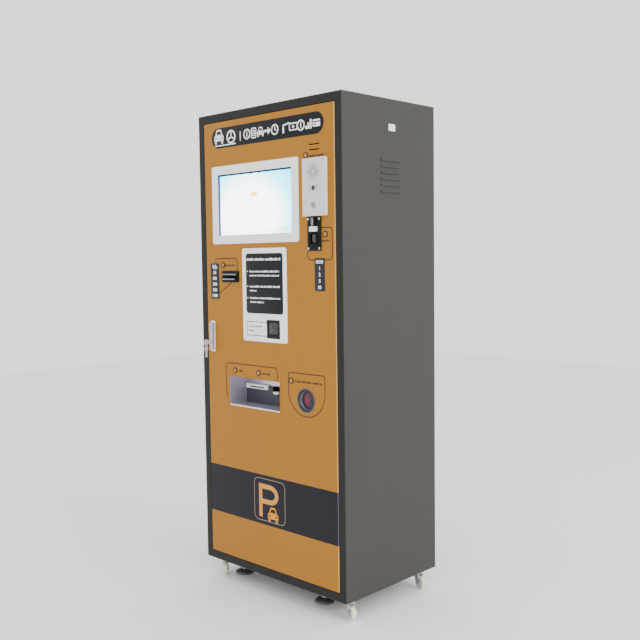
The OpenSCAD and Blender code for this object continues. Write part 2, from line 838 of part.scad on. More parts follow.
module door_decals() {
    color("#32343c") {
        upright(0, plaque_z, door_y - plaque_t, plaque_t)
            rounded(plaque_size[0], plaque_size[1], plaque_size[1] / 2 - 0.01);
        block([-door_x + bend_r, door_y - print_t, band_z0], [door_x - bend_r, door_y, band_z1]);
        for (d = [denomination_coin, denomination_note])
            upright(d[0], d[1], door_y - 1, 1) rounded(d[2], d[3], 3);
        for (p = label_places)
            upright(p[0], p[1], door_y - print_t, print_t) rounded(p[2], label_h, 1.5);
        shield();
        path_xz([[-285.5, 1237], [-285.5, 1254], [-164.5, 1254], [-164.5, 1211]]);
        path_xz([[-242.5, 737], [-242.5, 861], [49.2, 861], [49.2, 818]]);
        path_xz([[318, 1242], [324, 1242], [324, 1355], [280, 1355]]);
    }
    color("whitesmoke") {
        upright(sign_x, sign_z, door_y - print_t - 0.6, 0.6) difference() {
            rounded(sign_size[0], sign_size[1], 21);
            rounded(sign_size[0] - 6, sign_size[1] - 6, 18);
        }
        upright(sign_x, sign_z, door_y - print_t - 0.6, 0.6) parking_letter();
        upright(sign_x, sign_z, door_y - print_t - 0.6, 0.6) small_car();
        upright(0, plaque_z, door_y - plaque_t - 0.4, 0.4) {
            square([3, 50], center = true);
            translate([-140, 0]) ticket_sign();
            translate([140, 0]) coin_sign();
        }
        for (p = lamp_places) difference() {
            rod_y(p[0], p[1], door_y - lamp_t, lamp_t, lamp_r);
            rod_y(p[0], p[1], door_y - lamp_t - 1, 2, lamp_r - 3);
        }
    }
}

module parking_letter() {
    stroke = 17;
    bowl = 33;
    translate([-51.4, -60]) square([stroke, 117]);
    difference() {
        union() {
            translate([-51.4, -9]) square([66, 2 * bowl]);
            translate([14, bowl - 9]) circle(bowl);
        }
        translate([-51.4 + stroke, stroke - 9]) square([48.5, 2 * (bowl - stroke)]);
        translate([14, bowl - 9]) circle(bowl - stroke);
    }
}

module small_car() {
    translate([16, -50]) {
        rounded(56, 12, 4);
        translate([-1, 8]) polygon([[-20, -4], [-13, 9], [13, 9], [20, -4]]);
        for (s = [-1, 1])
            translate([s * 16, -7]) circle(5.5);
    }
}

module ticket_sign() {
    difference() {
        rounded(96, 40, 5);
        rounded(90, 34, 3);
        for (s = [-1, 1])
            translate([s * 48, 0]) circle(7);
    }
    for (i = [-1:1])
        translate([0, i * 9]) square([52 - 12 * abs(i), 3], center = true);
}

module coin_sign() {
    for (x = [-24, 24])
        translate([x, 0]) difference() {
            circle(20);
            circle(16.5);
        }
    for (x = [-24, 24])
        translate([x, 0]) square([5, 18], center = true);
}

module display_bezel() {
    color("whitesmoke") {
        upright(screen_x, screen_z, door_y - bezel_t, bezel_t) difference() {
            rounded(screen_w + 2 * bezel_w, screen_h + 2 * (bezel_w - 3), 8);
            square([screen_w, screen_h], center = true);
        }
        upright(screen_x, screen_z, door_y - 0.01, glass_y - door_y + 0.01) difference() {
            square([screen_w + 2 * bezel_lip, screen_h + 2 * bezel_lip], center = true);
            square([screen_w, screen_h], center = true);
        }
    }
}

module display_glass() {
    color("aliceblue") upright(screen_x, screen_z, glass_y, glass_t)
        square([screen_w + 2 * glass_over, screen_h + 2 * glass_over], center = true);
}

module display_module() {
    w = screen_w + 2 * rail_h;
    h = screen_h + 2 * rail_h;
    color("dimgray") {
        upright(screen_x, screen_z, skin_y, glass_y + glass_t - skin_y) difference() {
            square([w, h], center = true);
            square([screen_w + 2 * glass_over + 0.6, screen_h + 2 * glass_over + 0.6], center = true);
        }
        upright(screen_x, screen_z, glass_y + glass_t, module_d) square([w, h], center = true);
        for (i = [-4:4])
            block([screen_x + i * 40 - 12, glass_y + glass_t + module_d, screen_z - 70],
                [screen_x + i * 40 + 12, glass_y + glass_t + module_d + 3, screen_z + 70]);
    }
}

module instruction_plate() {
    insert_t = 0.6;
    color("whitesmoke") difference() {
        upright(instr_x, instr_z, door_y - instr_t, instr_t) rounded(instr_w, instr_h, 8);
        upright(reader_x, reader_z, door_y - instr_t - 1, instr_t + 2) square(reader_s - 8, center = true);
    }
    color("#2b2d35") {
        upright(-13.7, 1163, door_y - instr_t - insert_t, insert_t) rounded(197.2, 219.4, 8);
        upright(-52.7, 997.2, door_y - instr_t - 0.4, 0.4) difference() {
            rounded(109.4, 50.5, 4);
            rounded(106.4, 47.5, 3);
        }
    }
    color("whitesmoke") for (z = [1252, 1207, 1192.5, 1152, 1137, 1112, 1098])
        upright(-13.7 - (z > 1240 ? 0 : 12), z, door_y - instr_t - insert_t - 0.3, 0.3)
            square([z > 1240 ? 110 : 140, z > 1240 ? 9 : 6], center = true);
}

module code_reader() {
    neck = reader_s - 9;
    flange_y = door_y - instr_t - 2;
    color("black") difference() {
        union() {
            upright(reader_x, reader_z, flange_y, 2) rounded(reader_s, reader_s, 3);
            block([reader_x - neck / 2, flange_y + 1, reader_z - neck / 2],
                [reader_x + neck / 2, skin_y + reader_d, reader_z + neck / 2]);
        }
        upright(reader_x, reader_z, flange_y - 1, 5) square([46, 40], center = true);
    }
    color("darkslategray") upright(reader_x, reader_z, flange_y + 2, 2) square([45.4, 39.4], center = true);
}

module intercom_case() {
    y0 = door_y - intercom_proud + intercom_face_t;
    wall = 3;
    color("whitesmoke") difference() {
        upright(intercom_x, intercom_z, y0, door_y - y0) rounded(intercom_w, intercom_h, 4);
        difference() {
            block([intercom_x - intercom_w / 2 + wall, y0 - 1, intercom_z - intercom_h / 2 + wall],
                [intercom_x + intercom_w / 2 - wall, door_y - wall, intercom_z + intercom_h / 2 - wall]);
            intercom_screw_places() rod_y(0, 0, y0 - 2, 20, 6);
            rod_y(intercom_x, call_z, y0 - 2, 20, call_r + 4.2);
        }
        rod_y(intercom_x, call_z, y0 - 2, door_y - y0 - 1, call_r + 2.2);
        rod_y(intercom_x, intercom_z, door_y - wall - 1, wall + 2, 8);
        intercom_screw_places() rod_y(0, 0, y0 - 1, 7, 1.5);
    }
}

module intercom_screw_places() {
    for (x = [-1, 1], z = [-1, 1])
        translate([intercom_x + x * (intercom_w / 2 - 8), 0, intercom_z + z * (intercom_h / 2 - 8)])
            children();
}

module intercom_plate() {
    y0 = door_y - intercom_proud;
    t = intercom_face_t;
    color("silver") difference() {
        upright(intercom_x, intercom_z, y0, t) rounded(intercom_w, intercom_h, 4);
        for (i = [0:15])
            translate([intercom_x, 0, speaker_z]) rotate([0, i * 22.5, 0])
                block([10, y0 - 1, -1], [27, y0 + t + 1, 1]);
        rod_y(intercom_x, camera_z, y0 - 1, t + 2, 8);
        rod_y(intercom_x, call_z, y0 - 1, t + 2, call_r + run_gap);
        for (s = [-1, 1], k = [-1:1])
            rod_y(intercom_x + s * 18, camera_z + k * 10, y0 - 1, t + 2, 1.6);
        block([intercom_x - 6, y0 - 1, call_z + 16], [intercom_x + 6, y0 + t + 1, call_z + 17.5]);
        intercom_screw_places() rod_y(0, 0, y0 - 1, t + 2, 1.7);
    }
    color("black") {
        rod_y(intercom_x, camera_z, y0 + 0.6, 6, 7.9);
        rod_y(intercom_x, camera_z, y0 + t, 1.5, 11);
    }
}

module call_button() {
    y0 = door_y - intercom_proud;
    color("silver") {
        rod_y(intercom_x, call_z, y0 - 1.6, 1.6 + intercom_face_t + slip_gap + 4, call_r);
        rod_y(intercom_x, call_z, y0 + intercom_face_t + slip_gap, 2, call_r + 1.8);
    }
}

module coin_faceplate() {
    y0 = door_y - coin_plate_t;
    nose_y = y0 - 9;
    hole_w = flap_w + 2 * slip_gap;
    color("black") difference() {
        union() {
            upright(coin_x, coin_z, y0, coin_plate_t) rounded(coin_plate_w, coin_plate_h, 4);
            upright(coin_x, coin_slot_z, nose_y, 9.5) rounded(coin_block[0], coin_block[1], 5);
            upright(coin_x, flap_top - flap_h / 2 - 2, y0 - cup_out, cup_out + 0.5)
                rounded(flap_w + 2 * cup_wall + 2, flap_h + 6, 5);
        }
        upright(coin_x, coin_slot_z, nose_y - 1, 20) square([coin_slot_w, coin_slot_h], center = true);
        upright(coin_x, reject_z, y0 - 1, coin_plate_t + 2)
            square([reject_w + 2 * slip_gap, reject_h + 2 * slip_gap], center = true);
        upright(coin_x, flap_top - flap_h / 2 - 0.5, y0 - cup_out - 1, 30)
            square([hole_w, flap_h + 1], center = true);
        coin_screw_places() rod_y(0, 0, y0 - 1, coin_plate_t + 2, 2.1);
    }
}

module coin_screw_places() {
    for (x = [-1, 1], z = [-1, 1])
        translate([coin_x + x * (coin_plate_w / 2 - 5.5), 0, coin_z + z * (coin_plate_h / 2 - 8)]) children();
}

module coin_mechanism() {
    w = coin_plate_w + 6;
    z0 = coin_z - coin_plate_h / 2;
    z1 = coin_z + coin_plate_h / 2;
    in_y = door_y;
    flap_z = flap_top - flap_h / 2;
    color("dimgray") difference() {
        union() {
            block([coin_x - w / 2, skin_y, z0 - 2], [coin_x + w / 2, 70, z1 - 4]);
            block([coin_x - 20, 70, z0 + 10], [coin_x + 20, 92, z1 - 20]);
            block([coin_x - coin_plate_w / 2 + 8.5, in_y, z0 + 10.5],
                [coin_x + coin_plate_w / 2 - 8.5, skin_y, z1 - 10.5]);
        }
        upright(coin_x, coin_slot_z, in_y - 1, 56) square([coin_slot_w + 1, coin_slot_h + 1], center = true);
        upright(coin_x, reject_z, in_y - 1, 12)
            square([reject_w + 4, reject_h + 4], center = true);
        upright(coin_x, flap_z - 2, in_y - 1, cup_d + 1) square([flap_w + 4, flap_h + 8], center = true);
    }
}

module reject_button() {
    y0 = door_y - coin_plate_t - reject_out;
    color("whitesmoke") {
        upright(coin_x, reject_z, y0, reject_out + coin_plate_t + 2) rounded(reject_w, reject_h, 1.5);
        upright(coin_x, reject_z, door_y + 0.6, 2) square([reject_w + 3, reject_h + 3], center = true);
    }
}

module return_flap() {
    y0 = door_y - coin_plate_t + 0.5;
    color("black") {
        upright(coin_x, flap_top - flap_h / 2, y0, flap_t) square([flap_w, flap_h - 1], center = true);
        rod_x(y0 + flap_t, flap_top - 2, coin_x - flap_w / 2, flap_w, 1.4);
    }
}

module note_bezel() {
    slot_z = note_z - 2;
    color("black") difference() {
        union() {
            upright(note_x, note_z, door_y - 3, 3) rounded(note_bezel_w, note_bezel_h, 4);
            upright(note_x, note_z + 6.5, door_y - 8, 6) rounded(note_bezel_w - 10, 9, 3);
            upright(note_x, note_z - 9, door_y - 14, 12) rounded(note_bezel_w - 11, 9, 3);
        }
        upright(note_x, slot_z, door_y - 20, 30) square([note_slot_w, note_slot_h - 1], center = true);
    }
}

module note_head() {
    z0 = note_z - note_head_h / 2;
    wall = 3;
    y1 = skin_y + note_head_d;
    back = y1 + cassette_d + 2;
    color("dimgray") {
        difference() {
            union() {
                block([note_x - note_head_w / 2, skin_y, z0],
                    [note_x + note_head_w / 2, y1, z0 + note_head_h]);
                upright(note_x, note_z, door_y, sheet + 0.5)
                    square([note_slot_w + 5, note_slot_h + 7], center = true);
            }
            upright(note_x, note_z - 2, door_y - 1, 60) square([note_slot_w, note_slot_h - 1], center = true);
        }
        difference() {
            block([note_x - note_head_w / 2, y1 - 1, z0], [note_x + note_head_w / 2, back, z0 + 30]);
            block([note_x - cassette_w / 2 - slip_gap, y1, cassette_z0 - slip_gap],
                [note_x + cassette_w / 2 + slip_gap, back + 1, z0 + 31]);
        }
    }
}

module note_cassette() {
    y0 = skin_y + note_head_d + slip_gap;
    color("black") difference() {
        union() {
            block([note_x - cassette_w / 2, y0, cassette_z0],
                [note_x + cassette_w / 2, y0 + cassette_d, cassette_z0 + cassette_h]);
            block([note_x - 8, y0 + 10, cassette_z0 + cassette_h],
                [note_x + 8, y0 + cassette_d - 10, cassette_z0 + cassette_h + 7]);
        }
        block([note_x - cassette_w / 2 + 3, y0 + 3, cassette_z0 + 3],
            [note_x + cassette_w / 2 - 3, y0 + cassette_d - 3, cassette_z0 + cassette_h - 3]);
        block([note_x - note_slot_w / 2, y0 - 1, note_z - 8], [note_x + note_slot_w / 2, y0 + 4, note_z + 4]);
    }
}

module pickup_tray() {
    ow = tray_w + 2 * tray_wall;
    oh = tray_h + 2 * tray_wall;
    stub_y = tray_back + 54;
    sx = outlet_w / 2;
    sz0 = outlet_z - outlet_h / 2;
    color("silver") {
        difference() {
            union() {
                block([tray_x - ow / 2, door_y - tray_rim, tray_z - oh / 2],
                    [tray_x + ow / 2, tray_back, tray_z + oh / 2]);
                upright(tray_x, tray_z, door_y - tray_rim, tray_rim) rounded(ow + 8, oh + 8, 4);
            }
            block([tray_x - tray_w / 2, door_y - tray_rim - 1, tray_z - tray_h / 2],
                [tray_x + tray_w / 2, tray_back - tray_wall, tray_z + tray_h / 2]);
            upright(mouth_x, mouth_z, tray_back - 5, 10)
                square([mouth_w + 0.6, mouth_h + 0.6], center = true);
            upright(outlet_x, outlet_z, tray_back - 5, 10) square([outlet_w, outlet_h], center = true);
        }
        difference() {
            block([outlet_x - sx - chute_wall, tray_back - tray_wall, sz0 - chute_wall],
                [outlet_x + sx + chute_wall, stub_y, disc_z - 12]);
            block([outlet_x - sx, tray_back - tray_wall - 1, sz0],
                [outlet_x + sx, stub_y - chute_wall, sz0 + outlet_h]);
            block([outlet_x - sx, tray_back + 12, sz0], [outlet_x + sx, stub_y - chute_wall, disc_z]);
        }
    }
}

module receipt_printer() {
    z0 = mouth_z - printer_h / 2;
    z1 = mouth_z + printer_h / 2;
    cheek_x = roll_w / 2 + slip_gap;
    color("whitesmoke") difference() {
        upright(mouth_x, mouth_z, tray_back - tray_wall - mouth_out, mouth_out + tray_wall + 1)
            rounded(mouth_w, mouth_h, 2);
        upright(mouth_x, mouth_z, tray_back - 20, 40) square([roll_w + 2, 5], center = true);
    }
    color("dimgray") {
        difference() {
            block([mouth_x - mouth_w / 2, tray_back, z0], [mouth_x + mouth_w / 2, tray_back + printer_d, z1]);
            upright(mouth_x, mouth_z, tray_back - 1, 40) square([roll_w + 2, 5], center = true);
        }
        for (s = [-1, 1])
            block([mouth_x + s * (cheek_x + 1.5) - 1.5, tray_back + 20, z1 - 1],
                [mouth_x + s * (cheek_x + 1.5) + 1.5, roll_y + 18, roll_z + 18]);
        rod_x(roll_y, roll_z, mouth_x - cheek_x - 1, 2 * cheek_x + 2, spindle_r);
    }
}

module paper_roll() {
    color("white") difference() {
        rod_x(roll_y, roll_z, mouth_x - roll_w / 2, roll_w, roll_r);
        rod_x(roll_y, roll_z, mouth_x - roll_w / 2 - 1, roll_w + 2, spindle_r + run_gap);
    }
}

module scanner_cup() {
    y0 = door_y - 1.5;
    y1 = door_y + scan_d;
    r = scanner_r;
    color("silver") difference() {
        union() {
            rod_y(scan_x, scan_z, y0, 1.5, r + 4);
            rod_y(scan_x, scan_z, y0, y1 - y0, r + scan_wall);
        }
        rod_y(scan_x, scan_z, y0 - 1, y1 - y0 - 2, r);
        rod_y(scan_x, scan_z, y0 - 1, y1 - y0 + 2, scan_window_r);
    }
    color("darkred") rod_y(scan_x, scan_z, y1, 2.5, scan_window_r + 4);
    color("dimgray") difference() {
        block([scan_x - 42, y1, scan_z - 42], [scan_x + 42, y1 + 34, scan_z + 42]);
        rod_y(scan_x, scan_z, y1 - 1, 3.5, scan_window_r + 4.3);
        rod_y(scan_x, scan_z, y1 - 1, 26, scan_window_r - 6);
    }
}

module door_screws() {
    color("silver") {
        intercom_screw_places() screw_y(0, 0, door_y - intercom_proud, 7, 1.5);
        coin_screw_places() screw_y(0, 0, door_y - coin_plate_t, coin_plate_t, 2);
        screw_y(lock_x, lever_z0 - base_over + 3.5, door_y - base_t, base_t, 1.5);
    }
}

// ---------- lock ----------

function involute(a) = tan(a) * 180 / PI - a;

function tooth_half(r) = 90 / pinion_teeth - backlash / 4 / pitch_r * 180 / PI
    + involute(pressure) - involute(acos(min(1, pitch_r * cos(pressure) / r)));

function polar(r, a) = [r * cos(a), r * sin(a)];

module pinion_shape() {
    base_r = pitch_r * cos(pressure);
    tip_r = pitch_r + gear_module;
    root_r = pitch_r - root_depth;
    steps = 4;
    radii = [for (k = [0:steps]) base_r + (tip_r - base_r) * k / steps];
    circle(root_r);
    for (i = [0:pinion_teeth - 1])
        rotate(i * 360 / pinion_teeth)
            polygon(concat([polar(root_r - 0.5, -tooth_half(base_r))],
                [for (r = radii) polar(r, -tooth_half(r))],
                [for (k = [steps:-1:0]) polar(radii[k], tooth_half(radii[k]))],
                [polar(root_r - 0.5, tooth_half(base_r))]));
}

// Toothed bar: s is 1 on the pinion's right, going up, and -1 on its left, going down
module rack_bar(s) {
    phase = s < 0 && pinion_teeth % 2 == 1 ? 0 : 0.5;
    half = rack_pitch / 4 - backlash / 4;
    tip = half - gear_module * tan(pressure);
    root = half + root_depth * tan(pressure);
    end = s > 0 ? door_z1 - bolt_short : door_z0 + bolt_short;
    start = lock_z - s * (rack_half + 1) * rack_pitch;
    z0 = min(start, end);
    translate([lock_x, gear_y0, 0]) {
        block([s > 0 ? bar_in : -bar_out, 0, z0], [s > 0 ? bar_out : -bar_in, gear_t, max(start, end)]);
        for (k = [-rack_half:rack_half - 1])
            translate([0, gear_t, lock_z + (k + phase) * rack_pitch]) rotate([90, 0, 0])
                linear_extrude(gear_t)
                    polygon([[s * (bar_in + 0.5), -root], [s * (bar_in + 0.5), root], [s * bar_in, root],
                        [s * (pitch_r - gear_module + 0.15), tip], [s * (pitch_r - gear_module + 0.15), -tip],
                        [s * bar_in, -root]]);
    }
}

module upper_bolt() { color("silver") rack_bar(1); }
module lower_bolt() { color("silver") rack_bar(-1); }

module lock_base() {
    color("silver") difference() {
        upright(lock_x, lever_z0 + lever_l / 2, door_y - base_t, base_t)
            rounded(base_w, lever_l + 2 * base_over, 3);
        rod_y(lock_x, lock_z, door_y - base_t - 1, base_t + 2, spindle_lock_r + run_gap);
        rod_y(lock_x, lever_z0 - base_over + 3.5, door_y - base_t - 1, base_t + 2, 1.6);
    }
}

// A channel that keeps a bar against the door between heights z0 and z0 + h; x0..x1 is its clear width
module channel(x0, x1, z0, h) {
    y1 = gear_y0 + gear_t + slip_gap;
    difference() {
        block([x0 - 2, skin_y, z0], [x1 + 2, y1 + 2, z0 + h]);
        block([x0, skin_y - 1, z0 - 1], [x1, y1, z0 + h + 1]);
    }
}

module lock_case() {
    h = 2 * (rack_half + 2) * rack_pitch;
    color("gainsboro") {
        difference() {
            channel(lock_x - bar_out - slip_gap, lock_x + bar_out + slip_gap, lock_z - h / 2, h);
            rod_y(lock_x, lock_z, skin_y, 30, spindle_lock_r + run_gap);
        }
        for (i = [1:guide_n]) {
            up = lock_z + h / 2 + i * (door_z1 - lock_z - h / 2 - 30) / guide_n - 10;
            down = lock_z - h / 2 - i * (lock_z - h / 2 - door_z0 - 30) / guide_n;
            guide(1, up);
            guide(-1, down);
        }
    }
}

module guide(s, z) {
    x = lock_x + (s > 0 ? bar_in : -bar_out);
    difference() {
        block([x - slip_gap - 2, skin_y, z],
            [x + bar_t + slip_gap + 2, gear_y0 + gear_t + slip_gap + 2, z + 12]);
        block([x - slip_gap, gear_y0 - slip_gap, z - 1],
            [x + bar_t + slip_gap, gear_y0 + gear_t + slip_gap, z + 13]);
    }
}

module lock_lever() {
    color("silver") {
        difference() {
            union() {
                upright(lock_x, lever_z0 + lever_l / 2, lever_front, lever_t) rounded(lever_w, lever_l, 3);
                rod_y(lock_x, cylinder_z, lever_front - cylinder_out, cylinder_out + 1, cylinder_r);
            }
            rod_y(lock_x, cylinder_z, lever_front - cylinder_out - 1, cylinder_out + lever_t + 2,
                plug_r + run_gap);
        }
        rod_y(lock_x, lock_z, lever_front + 1, spindle_end - lever_front - 1, spindle_lock_r);
        upright(lock_x, lock_z, gear_y0, gear_t) pinion_shape();
    }
}

// A key's head, thin along X, with its middle at y, z and a hole for the ring
module key_head(y, z, r, hole_z) {
    difference() {
        rod_x(y, z, lock_x - key_t / 2, key_t, r);
        rod_x(y, hole_z, lock_x - key_t, 2 * key_t, key_hole_r);
    }
}

module lock_key() {
    front = lever_front - cylinder_out;
    color("silver") {
        key_head(bow_y, cylinder_z, bow_r, key_hole_z);
        block([lock_x - key_t / 2, bow_y + bow_r - 1, cylinder_z - 4],
            [lock_x + key_t / 2, front + 2, cylinder_z + 4]);
        rod_y(lock_x, cylinder_z, front - 0.4, cylinder_out + lever_t + 0.2, plug_r);
    }
}

module key_ring() {
    spare_hole = key_hole_z - 2 * ring_r;
    spare_z = spare_hole - spare_drop;
    color("silver") {
        translate([lock_x, bow_y, key_hole_z - ring_r]) rotate([90, 0, 0])
            rotate_extrude() translate([ring_r, 0]) circle(wire_r, $fn = 24);
        key_head(bow_y, spare_z, spare_r, spare_hole);
        block([lock_x - key_t / 2, bow_y - 3.5, spare_z - spare_r - spare_len],
            [lock_x + key_t / 2, bow_y + 3.5, spare_z - spare_r + 1]);
    }
}

// ---------- the assembly ----------

place() left_side();
place() right_side();
place() front_frame();
place() top_cover();
place() base_pan();
place() rear_panel();
place() panel_screws();
place() equipment_rack();
place() hinge_brackets();
place() caster_plates();
place() control_computer();
place() power_supply();
place() fan_frame();
place() cable_gland();
place() coin_hopper();
place() fan_rotor();
place() hopper_disc();
place() coin_box();
place() caster_fork_front_left();
place() caster_fork_front_right();
place() caster_fork_rear_left();
place() caster_fork_rear_right();
place() caster_wheel_front_left();
place() caster_wheel_front_right();
place() caster_wheel_rear_left();
place() caster_wheel_rear_right();
place() foot_front_left();
place() foot_front_right();
place() foot_rear_left();
place() foot_rear_right();
place() door_panel();
place() hinge_knuckles();
place() door_decals();
place() display_bezel();
place() display_glass();
place() display_module();
place() instruction_plate();
place() code_reader();
place() intercom_case();
place() intercom_plate();
place() coin_faceplate();
place() coin_mechanism();
place() note_bezel();
place() note_head();
place() pickup_tray();
place() receipt_printer();
place() scanner_cup();
place() door_screws();
place() lock_base();
place() lock_case();
place() call_button();
place() reject_button();
place() return_flap();
place() note_cassette();
place() paper_roll();
place() lock_lever();
place() upper_bolt();
place() lower_bolt();
place() lock_key();
place() key_ring();
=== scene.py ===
import json
import math
import random
import bpy
import bmesh
from mathutils import Matrix, Vector


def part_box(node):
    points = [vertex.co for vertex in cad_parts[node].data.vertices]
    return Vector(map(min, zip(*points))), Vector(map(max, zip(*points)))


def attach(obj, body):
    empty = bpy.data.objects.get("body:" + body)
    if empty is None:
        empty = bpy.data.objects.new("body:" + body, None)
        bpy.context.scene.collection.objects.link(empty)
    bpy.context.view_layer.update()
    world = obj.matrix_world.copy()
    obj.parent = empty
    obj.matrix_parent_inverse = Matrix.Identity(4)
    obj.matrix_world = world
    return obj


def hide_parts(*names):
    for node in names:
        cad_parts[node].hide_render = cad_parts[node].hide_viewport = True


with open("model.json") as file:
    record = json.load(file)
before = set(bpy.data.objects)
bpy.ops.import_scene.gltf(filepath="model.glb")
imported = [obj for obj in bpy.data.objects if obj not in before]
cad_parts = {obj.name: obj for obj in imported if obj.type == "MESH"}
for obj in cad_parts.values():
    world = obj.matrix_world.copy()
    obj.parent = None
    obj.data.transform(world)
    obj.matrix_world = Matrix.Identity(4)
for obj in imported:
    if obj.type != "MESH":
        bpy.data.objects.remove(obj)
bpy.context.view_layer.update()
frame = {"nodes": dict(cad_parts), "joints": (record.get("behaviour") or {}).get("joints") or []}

nodes = frame["nodes"]
print("frame loaded:", len(nodes), "nodes")

mm = 0.001
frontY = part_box("front_frame")[0].y     # the front frame's face
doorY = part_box("door_panel")[0].y       # the door's face, which every depth on the door is measured from
fourCorners = [(sx, sz) for sx in (-1, 1) for sz in (-1, 1)]


# materials

def srgb(r, g, b):
    return tuple(((c / 255 + 0.055) / 1.055) ** 2.4 if c > 10 else c / 255 / 12.92 for c in (r, g, b)) + (1.0,)


def newMaterial(name, color, roughness=0.5, metallic=0.0, coat=0.0, specular=0.5):
    mat = bpy.data.materials.new(name)
    mat.use_nodes = True
    tree = mat.node_tree
    shader = tree.nodes["Principled BSDF"]
    for socket, value in (("Base Color", color), ("Roughness", roughness), ("Metallic", metallic),
                          ("Coat Weight", coat), ("Coat Roughness", 0.1), ("Specular IOR Level", specular)):
        shader.inputs[socket].default_value = value
    return mat, tree, shader


def objectCoords(tree, scale=(1, 1, 1)):
    coords = tree.nodes.new("ShaderNodeTexCoord")
    mapping = tree.nodes.new("ShaderNodeMapping")
    mapping.inputs["Scale"].default_value = scale
    tree.links.new(coords.outputs["Object"], mapping.inputs["Vector"])
    return mapping.outputs["Vector"]


def noiseNode(tree, vector, scale, detail=3.0, roughness=0.5):
    noise = tree.nodes.new("ShaderNodeTexNoise")
    noise.inputs["Scale"].default_value = scale
    noise.inputs["Detail"].default_value = detail
    noise.inputs["Roughness"].default_value = roughness
    tree.links.new(vector, noise.inputs["Vector"])
    return noise.outputs["Fac"]


def rampNode(tree, value, stops):
    ramp = tree.nodes.new("ShaderNodeValToRGB")
    elements = ramp.color_ramp.elements
    while len(elements) < len(stops):
        elements.new(0.5)
    for element, (place, color) in zip(elements, stops):
        element.position = place
        element.color = color
    tree.links.new(value, ramp.inputs["Fac"])
    return ramp.outputs["Color"]


def addBump(tree, shader, height, strength, distance):
    bump = tree.nodes.new("ShaderNodeBump")
    bump.inputs["Strength"].default_value = strength
    bump.inputs["Distance"].default_value = distance
    tree.links.new(height, bump.inputs["Height"])
    tree.links.new(bump.outputs["Normal"], shader.inputs["Normal"])


def shade(color, factor):
    return tuple(min(1.0, c * factor) for c in color[:3]) + (1.0,)


# the colour runs from a darker to a brighter tint of itself with a noise
def tintBy(tree, shader, value, color, dark, bright):
    tint = rampNode(tree, value, [(0.3, shade(color, dark)), (0.7, shade(color, bright))])
    tree.links.new(tint, shader.inputs["Base Color"])
    return tint


# the roughness varies a little with a noise
def roughBy(tree, shader, value, roughness, less, more, low=0.3, high=0.7):
    stops = [(low, (roughness - less,) * 3 + (1,)), (high, (roughness + more,) * 3 + (1,))]
    tree.links.new(rampNode(tree, value, stops), shader.inputs["Roughness"])


# powder coat and paint: a fine grain in the colour and in the relief, and a slow cloudiness over the sheet
def paint(name, color, roughness, grain=900, depth=0.0002, spread=0.08, cloud=0.05, metallic=0.0, specular=0.3):
    mat, tree, shader = newMaterial(name, color, roughness, metallic, specular=specular)
    vector = objectCoords(tree)
    fine = noiseNode(tree, vector, grain, 2.0)
    slow = noiseNode(tree, vector, 2.2, 2.0)
    fineColor = rampNode(tree, fine, [(0.3, shade(color, 1 - spread)), (0.7, shade(color, 1 + spread))])
    slowColor = rampNode(tree, slow, [(0.3, shade((1, 1, 1), 1 - cloud)), (0.7, (1, 1, 1, 1))])
    mix = tree.nodes.new("ShaderNodeMix")
    mix.data_type = "RGBA"
    mix.blend_type = "MULTIPLY"
    mix.inputs["Factor"].default_value = 1.0
    tree.links.new(fineColor, mix.inputs[6])
    tree.links.new(slowColor, mix.inputs[7])
    tree.links.new(mix.outputs[2], shader.inputs["Base Color"])
    roughBy(tree, shader, fine, roughness, 0.05, 0.06, 0.25, 0.75)
    addBump(tree, shader, fine, 0.5, depth)
    return mat


# drawn or brushed metal: upright streaks
def brushedMetal(name, color, roughness, streaks=700, depth=0.00006):
    mat, tree, shader = newMaterial(name, color, roughness, 1.0)
    lines = noiseNode(tree, objectCoords(tree, (1, 1, 0.02)), streaks, 3.0, 0.6)
    tintBy(tree, shader, lines, color, 0.82, 1.1)
    roughBy(tree, shader, lines, roughness, 0.07, 0.09)
    addBump(tree, shader, lines, 0.35, depth)
    return mat


# zinc plating: patches of brighter and duller grey
def platedMetal(name, color, roughness):
    mat, tree, shader = newMaterial(name, color, roughness, 1.0)
    vector = objectCoords(tree)
    patches = noiseNode(tree, vector, 60, 5.0, 0.6)
    tintBy(tree, shader, patches, color, 0.78, 1.12)
    roughBy(tree, shader, patches, roughness, 0.08, 0.1)
    addBump(tree, shader, noiseNode(tree, vector, 900, 2.0), 0.25, 0.00008)
    return mat


# moulded plastic: spark-erosion grain
def plastic(name, color, roughness, grain=1400, depth=0.00008, coat=0.0, spread=0.05):
    mat, tree, shader = newMaterial(name, color, roughness, 0.0, coat)
    vector = objectCoords(tree)
    slow = noiseNode(tree, vector, 14, 3.0)
    tintBy(tree, shader, slow, color, 1 - spread, 1 + spread)
    roughBy(tree, shader, slow, roughness, 0.04, 0.06)
    addBump(tree, shader, noiseNode(tree, vector, grain, 2.0), 0.4, depth)
    return mat


def glowing(name, color, strength):
    mat, tree, shader = newMaterial(name, color, 0.4)
    tint = tintBy(tree, shader, noiseNode(tree, objectCoords(tree), 40, 2.0), color, 0.85, 1)
    tree.links.new(tint, shader.inputs["Emission Color"])
    shader.inputs["Emission Strength"].default_value = strength
    return mat


# a soft oval spot on the door, bright in the middle: place is (x, out, z) and reach is (x, z)
def glowSpot(tree, place, reach, stops):
    coords = tree.nodes.new("ShaderNodeTexCoord")
    mapping = tree.nodes.new("ShaderNodeMapping")
    mapping.vector_type = "TEXTURE"
    mapping.inputs["Location"].default_value = doorPoint(*place)
    mapping.inputs["Scale"].default_value = (reach[0] * mm, 1, reach[1] * mm)
    sphere = tree.nodes.new("ShaderNodeTexGradient")
    sphere.gradient_type = "SPHERICAL"
    tree.links.new(coords.outputs["Object"], mapping.inputs["Vector"])
    tree.links.new(mapping.outputs["Vector"], sphere.inputs["Vector"])
    return rampNode(tree, sphere.outputs["Fac"], stops)


